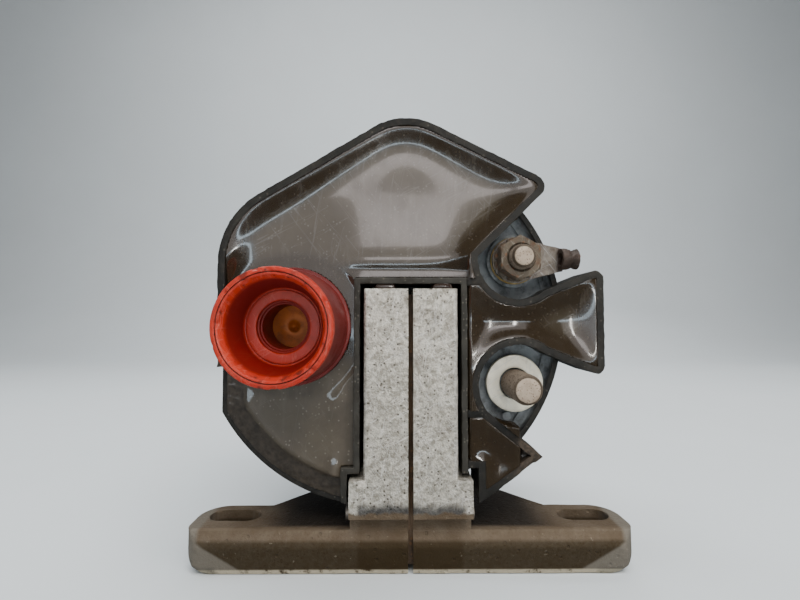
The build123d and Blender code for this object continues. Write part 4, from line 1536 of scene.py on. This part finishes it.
@dataclass
class Terminals:
    """Both studs with their washers, nut, ring terminal and cut wire."""

    x: float = 22.0
    upper_z: float = 63.4
    lower_z: float = 37.6

    def stud(self, spec: StudSpec) -> None:
        """Turn a stud with a rolled thread, a slightly domed and chamfered tip and a hexagon head.

        Args:
            spec: the stud's sizes.
        """
        depth = spec.pitch * 0.58

        def thread(angle: float, radius: float, y: float) -> tuple[float, float]:
            """Cut the thread's flanks into the outside of the shank.

            Args:
                angle: the angle round the axis.
                radius: the point's radius.
                y: the point's Y.

            Returns:
                The new radius and Y.
            """
            if y > spec.thread_end_y or radius < spec.radius * 0.98:
                return radius, y
            turn = (y / spec.pitch + angle / (2 * math.pi)) % 1.0
            flank = abs(turn - 0.5) * 2
            cut = min(1.0, max(0.0, (flank - 0.12) / 0.76))
            fade = smooth_step(y, spec.tip_y + 0.1, spec.tip_y + 0.7)
            fade *= smooth_step(-y, -spec.thread_end_y, 0.6 - spec.thread_end_y)
            worn = 0.05 * (noise.noise(Vector((angle * 2, y, 3))) + 0.4)
            return radius - depth * cut * fade - max(0.0, worn), y

        radius, tip, end = spec.radius, spec.tip_y, spec.thread_end_y
        profile = [(0.0, tip + 0.02), (radius * 0.45, tip), (radius - 0.75, tip + 0.03)]
        profile += [(radius - 0.55, tip + 0.12), (radius, tip + 0.5)]
        rows = int((end - tip - 0.5) / (spec.pitch / 12))
        profile += [(radius, tip + 0.5 + (end - tip - 0.5) * row / rows) for row in range(1, rows + 1)]
        profile += [(radius - 0.3, end + 0.05), (radius - 0.3, spec.back_y), (0.0, spec.back_y)]
        mesh = Lathe(spec.x, spec.z, 60).turn(profile, thread)
        # root: painted shade and grime, over the whole threaded shank and most in the roots.
        root = mesh.verts.layers.float.new("root")
        for vert in mesh.verts:
            away = math.hypot(vert.co.x - spec.x, vert.co.z - spec.z)
            if spec.tip_y + 0.1 < vert.co.y and away > 1.0:
                vert[root] = 0.76 + 0.24 * smooth_step(radius - away, 0.08, depth * 0.6)
        wobble(mesh, 0.05, 0.7, lambda p: 1 - smooth_step(p.y, spec.tip_y + 0.2, spec.tip_y + 1.0))
        head = self.hexagon(spec.x, spec.z, spec.head_flats, spec.back_y, spec.head_back_y, 0.0)
        show(join(mesh, head), spec.name, STUD, [spec.node], smooth=40.0)

    @staticmethod
    def hexagon(
        x: float, z: float, flats: float, front_y: float, back_y: float, bore: float
    ) -> Mesh:
        """A hexagon with corner chamfers at both ends and, with a bore, a chamfered hole.

        Args:
            x: the axis's X.
            z: the axis's height.
            flats: the size across flats.
            front_y: the front face.
            back_y: the back face.
            bore: the hole's radius, or 0.

        Returns:
            The mesh.
        """
        half = flats / 2
        reach = half / math.cos(math.pi / 6)

        def six(angle: float, radius: float, y: float) -> tuple[float, float]:
            """Limit the outside to the flats.

            Args:
                angle: the angle round the axis.
                radius: the point's radius.
                y: the point's Y.

            Returns:
                The new radius and Y.
            """
            if radius < half * 0.97:
                return radius, y
            folded = (angle + math.pi / 6) % (math.pi / 3) - math.pi / 6
            return min(radius, half / math.cos(folded)), y

        profile = [
            (half * 0.96, front_y),
            (half * 1.0, front_y + 0.02),
            (reach - 0.25, front_y + 0.35),
            (reach, front_y + 0.55),
            (reach, (front_y + back_y) / 2),
            (reach, back_y - 0.55),
            (reach - 0.25, back_y - 0.35),
            (half * 1.0, back_y - 0.02),
            (half * 0.96, back_y),
        ]
        if bore:
            profile += [(bore + 0.45, back_y), (bore, back_y - 0.45)]
            profile += [(bore, front_y + 0.45), (bore + 0.45, front_y), profile[0]]
        else:
            profile = [(0.0, front_y), *profile, (0.0, back_y)]
        return Lathe(x, z, 96).turn(profile, six)

    def washer(
        self,
        name: str,
        node: str,
        z: float,
        sizes: tuple[float, float],
        places: tuple[float, float],
        finish: Finish,
        slot: str,
    ) -> None:
        """Turn a stamped washer with rounded edges and slightly uneven faces.

        Args:
            name: the piece's name.
            node: the CAD node.
            z: the stud's height.
            sizes: outer and inner radius.
            places: front and back Y.
            finish: its finish.
            slot: not used.
        """
        outer, inner = sizes
        front, back = places
        corners = [(inner, front), (outer, front), (outer, back), (inner, back)]
        profile = subdivided(rounded(corners, 0.22, 3, closed=True), 0.5)
        mesh = Lathe(self.x, z, 96).turn(profile)
        wobble(mesh, 0.04, 1.6)
        show(mesh, name, finish, [node])

    def tooth_washer(self) -> None:
        """Turn the toothed washer, with each tooth twisted out of the ring."""

        def teeth(angle: float, radius: float, y: float) -> tuple[float, float]:
            """Notch the outside and twist what is left between the notches.

            Args:
                angle: the angle round the axis.
                radius: the point's radius.
                y: the point's Y.

            Returns:
                The new radius and Y.
            """
            if radius < 3.6:
                return radius, y
            phase = (angle * 12 / (2 * math.pi)) % 1.0
            reach = (radius - 3.6) / 1.0
            notch = smooth_step(abs(phase - 0.5), 0.30, 0.42)
            return radius - 0.75 * notch * reach, y + (phase - 0.5) * 0.35 * reach

        corners = [(2.7, -7.5), (3.6, -7.5), (4.6, -7.46), (4.6, -6.94), (3.6, -6.9), (2.7, -6.9)]
        profile = subdivided([*corners, corners[0]], 0.4)
        mesh = Lathe(self.x, self.upper_z, 144).turn(profile, teeth)
        show(mesh, "toothed_washer", NUT, ["lock_washer_m5"])

    def nut(self) -> None:
        """Build the hexagon nut."""
        mesh = self.hexagon(self.x, self.upper_z, 8.0, -11.5, -7.5, 2.52)
        wobble(mesh, 0.06, 1.2)
        show(mesh, "terminal_nut", NUT, ["hex_nut_m5"])

    def lug(self) -> None:
        """Build the ring terminal with its crimped barrel, and the strands of the cut wire."""
        mesh = from_cad("ring_terminal")
        barrel = mesh.verts.layers.float.new("barrel")
        soften(mesh, 0.16, 2, 40.0)
        slice_grid(mesh, 0.55)
        for vert in mesh.verts:
            if vert.co.x > 31.0:
                pinch = math.exp(-(((vert.co.x - 33.1) / 0.45) ** 2))
                vert.co.y += 0.45 * pinch * (1 if vert.co.y < -8.2 else -0.2)
                vert.co.z -= 0.40 * pinch * (1 if vert.co.z > self.upper_z else -1)
            vert[barrel] = smooth_step(vert.co.x, 30.2, 31.0)
        wobble(mesh, 0.16, 1.1)
        show(mesh, "ring_lug", LUG, ["ring_terminal"], smooth=50.0)
        strands = bmesh.new()
        angles = [step * math.pi / 3 + 0.3 for step in range(6)]
        places = [(0.0, 0.0)] + [(0.78 * math.cos(angle), 0.78 * math.sin(angle)) for angle in angles]
        for number, (side, rise) in enumerate(places):
            length = 34.9 - 0.2 * ((number * 5) % 7) / 2
            corners = [(0.0, 31.9), (0.42, 31.9), (0.42, length - 0.12), (0.34, length), (0.0, length)]
            wire = Lathe(0.0, 0.0, 14).turn(subdivided(corners, 0.6))
            for vert in wire.verts:
                vert.co = Vector((vert.co.y, -8.15 + side + vert.co.x, self.upper_z + rise + vert.co.z))
            bmesh.ops.recalc_face_normals(wire, faces=wire.faces)
            join(strands, wire)
        show(strands, "wire_strands", COPPER, ["wire_stub"])

    def build(self) -> None:
        """Build every terminal piece."""
        self.stud(StudSpec("stud_lower", "terminal_stud_m6", self.x, self.lower_z, 3.0, 1.0, -15.4, -5.2))
        self.stud(StudSpec("stud_upper", "terminal_stud_m5", self.x, self.upper_z, 2.5, 0.8, -13.7, -6.0))
        lower = ((6.0, 3.2), (-5.2, -4.0), BRIGHT, "washer_steel")
        self.washer("washer_lower", "plain_washer_m6", self.lower_z, *lower)
        upper = ((5.0, 2.7), (-6.0, -5.0), YELLOW, "yellow_passivated")
        self.washer("washer_upper", "plain_washer_m5", self.upper_z, *upper)
        self.tooth_washer()
        self.nut()
        self.lug()


@dataclass
class Core:
    """The dabs of compound on the yoke, and the inner pieces that keep their CAD shape."""

    dabs: Sequence[tuple[float, float]] = ((-5.3, 0.75), (6.6, 1.0))

    def dab(self, x: float, swell: float) -> Mesh:
        """One flattened blob between the yoke and the well.

        Args:
            x: the X.
            swell: how far it stands out in front.

        Returns:
            The mesh.
        """
        mesh = bmesh.new()
        bmesh.ops.create_cube(mesh, size=2.0)
        bmesh.ops.subdivide_edges(mesh, edges=mesh.edges, cuts=9, use_grid_fill=True)
        for vert in mesh.verts:
            ball = vert.co.normalized()
            shape = vert.co.lerp(ball, 0.62)
            lump = 1 + 0.2 * noise.noise(ball * 1.3 + Vector((x, 0, 0)))
            depth, height = -7.9 + shape.y * 1.45 * swell, 57.75 + shape.z * 0.78 * lump
            vert.co = Vector((x + shape.x * 2.25 * lump, depth, height))
        return mesh

    def build(self) -> None:
        """Build the dabs and dress the remaining nodes."""
        mesh = self.dab(*self.dabs[0])
        for place in self.dabs[1:]:
            join(mesh, self.dab(*place))
        show(mesh, "compound_dabs", COMPOUND, ["core_locking_beads"], smooth=80.0)
        kept = {
            CORE: ("core_u_stack", "core_bar_stack"),
            CARD: ("core_gap_spacer", "winding_sleeve"),
            COPPER: (
                "primary_winding",
                "secondary_winding",
                "ht_lead",
                "primary_lead_start",
                "primary_lead_end",
                "secondary_lead",
            ),
            WELL: ("secondary_bobbin",),
        }
        for finish, nodes in kept.items():
            for node in nodes:
                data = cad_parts[node].data
                data.materials.clear()
                data.materials.append(finish.build())


# ------------------------------------------------------------------ stage


@dataclass(frozen=True)
class Panel:
    """A soft light: its place and aim in metres, size, power and colour.

    A mirrored light shows in glossy surfaces. A light that spreads also lights matt ones.
    """

    name: str
    place: tuple[float, float, float]
    size: tuple[float, float]
    power: float
    colour: Colour = (1.0, 1.0, 1.0)
    aim: tuple[float, float, float] = (0.0, 0.0, 0.05)
    mirrored: bool = True
    spread: bool = True

    def build(self) -> None:
        """Add the light."""
        data = bpy.data.lights.new(self.name, "AREA")
        data.shape = "RECTANGLE"
        data.size, data.size_y = self.size
        data.energy = self.power
        data.color = self.colour
        lamp = bpy.data.objects.new(self.name, data)
        lamp.location = self.place
        lamp.visible_glossy = self.mirrored
        lamp.visible_diffuse = self.spread
        lamp.rotation_euler = (Vector(self.aim) - Vector(self.place)).to_track_quat("-Z", "Y").to_euler()
        bpy.context.scene.collection.objects.link(lamp)


@dataclass
class Studio:
    """The pale floor and sweep, the lights, the world and the camera."""

    backdrop: Colour = (0.66, 0.70, 0.72)
    panels: Sequence[Panel] = (
        Panel("key", (0.10, -0.38, 0.50), (0.5, 0.35), 3.9, (1.0, 0.975, 0.935), mirrored=False),
        Panel("top_strip", (-0.02, -0.06, 0.42), (0.7, 0.08), 1.4, (0.93, 0.97, 1.0), (0.0, -0.01, 0.05)),
        Panel("room", (0.02, -0.60, 0.19), (0.50, 0.30), 0.55, (1.0, 0.96, 0.95), spread=False),
        Panel(
            "ceiling", (0.035, -0.45, 0.165), (0.17, 0.06), 0.11, (1.0, 0.93, 0.93), (0.0, 0.0, 0.06),
            spread=False,
        ),
        Panel("low_strip", (-0.02, -0.45, 0.035), (0.5, 0.012), 0.20, (0.72, 0.88, 1.0), spread=False),
        Panel("side_strip", (0.12, -0.45, 0.08), (0.012, 0.12), 0.20, (1.0, 0.97, 0.9), spread=False),
        Panel("left", (-0.55, -0.30, 0.22), (0.2, 0.4), 0.5, (0.9, 0.95, 1.0)),
        Panel("right", (0.55, -0.35, 0.20), (0.2, 0.4), 0.8, (1.0, 0.97, 0.93)),
        Panel("back", (0.0, 0.25, 0.60), (0.8, 0.4), 3.2, aim=(0.0, 0.75, 0.15)),
        Panel("behind", (0.15, 0.55, 0.35), (0.4, 0.3), 0.8, aim=(0.0, 0.03, 0.05), mirrored=False),
    )

    def floor(self) -> None:
        """A pale floor that curves up behind the object."""
        mesh = bmesh.new()
        rows = [(-1.6, 0.0), (0.45, 0.0)]
        angles = (0.2, 0.4, 0.7, 1.0, 1.3, math.pi / 2)
        rows += [(0.45 + 0.3 * math.sin(angle), 0.3 * (1 - math.cos(angle))) for angle in angles]
        rows += [(0.75, 1.6)]
        made = bmesh.ops.create_grid(mesh, x_segments=1, y_segments=len(rows) - 1, size=1.0)
        for vert in made["verts"]:
            row = rows[round((vert.co.y + 1) / 2 * (len(rows) - 1))]
            vert.co = (vert.co.x * 2.0, row[0], row[1] - 0.0002)
        data = bpy.data.meshes.new("studio_sweep")
        mesh.to_mesh(data)
        mesh.free()
        data.polygons.foreach_set("use_smooth", [True] * len(data.polygons))
        sweep = bpy.data.objects.new("studio_sweep", data)
        bpy.context.scene.collection.objects.link(sweep)
        finish = Finish(
            "studio_paper", self.backdrop, tuple(c * 1.04 for c in self.backdrop), dirt=self.backdrop,
            roughness=0.9, patch_scale=4.0, dirt_amount=0.0, grain_scale=400.0, specular=0.1,
        )
        data.materials.append(finish.build())
        sweep.visible_glossy = False

    def world(self) -> None:
        """A pale, even world."""
        world = bpy.data.worlds.new("studio_world")
        world.use_nodes = True
        back = world.node_tree.nodes["Background"]
        back.inputs["Color"].default_value = (0.70, 0.74, 0.78, 1.0)
        back.inputs["Strength"].default_value = 0.16
        bpy.context.scene.world = world

    def camera(self) -> None:
        """The close camera in front of the tower side."""
        data = bpy.data.cameras.new("close_view")
        data.lens = 20.7
        data.sensor_width = 36.0
        data.clip_start = 0.001
        camera = bpy.data.objects.new("close_view", data)
        camera.location = (-0.00276, -0.1024, 0.0509)
        camera.rotation_euler = (math.radians(92.49), 0.0, math.radians(-0.37))
        bpy.context.scene.collection.objects.link(camera)
        bpy.context.scene.camera = camera

    def build(self) -> None:
        """Set the stage."""
        self.floor()
        self.world()
        self.camera()
        for panel in self.panels:
            panel.build()


def main() -> None:
    """Build every sub-assembly and the stage."""
    logging.basicConfig(level=logging.INFO)
    for assembly in (Bracket(), Housing(), Resin(), Tower(), Terminals(), Core(), Studio()):
        log.info("building %s", type(assembly).__name__)
        assembly.build()


if __name__ == "__main__":
    main()
    bpy.context.view_layer.update()
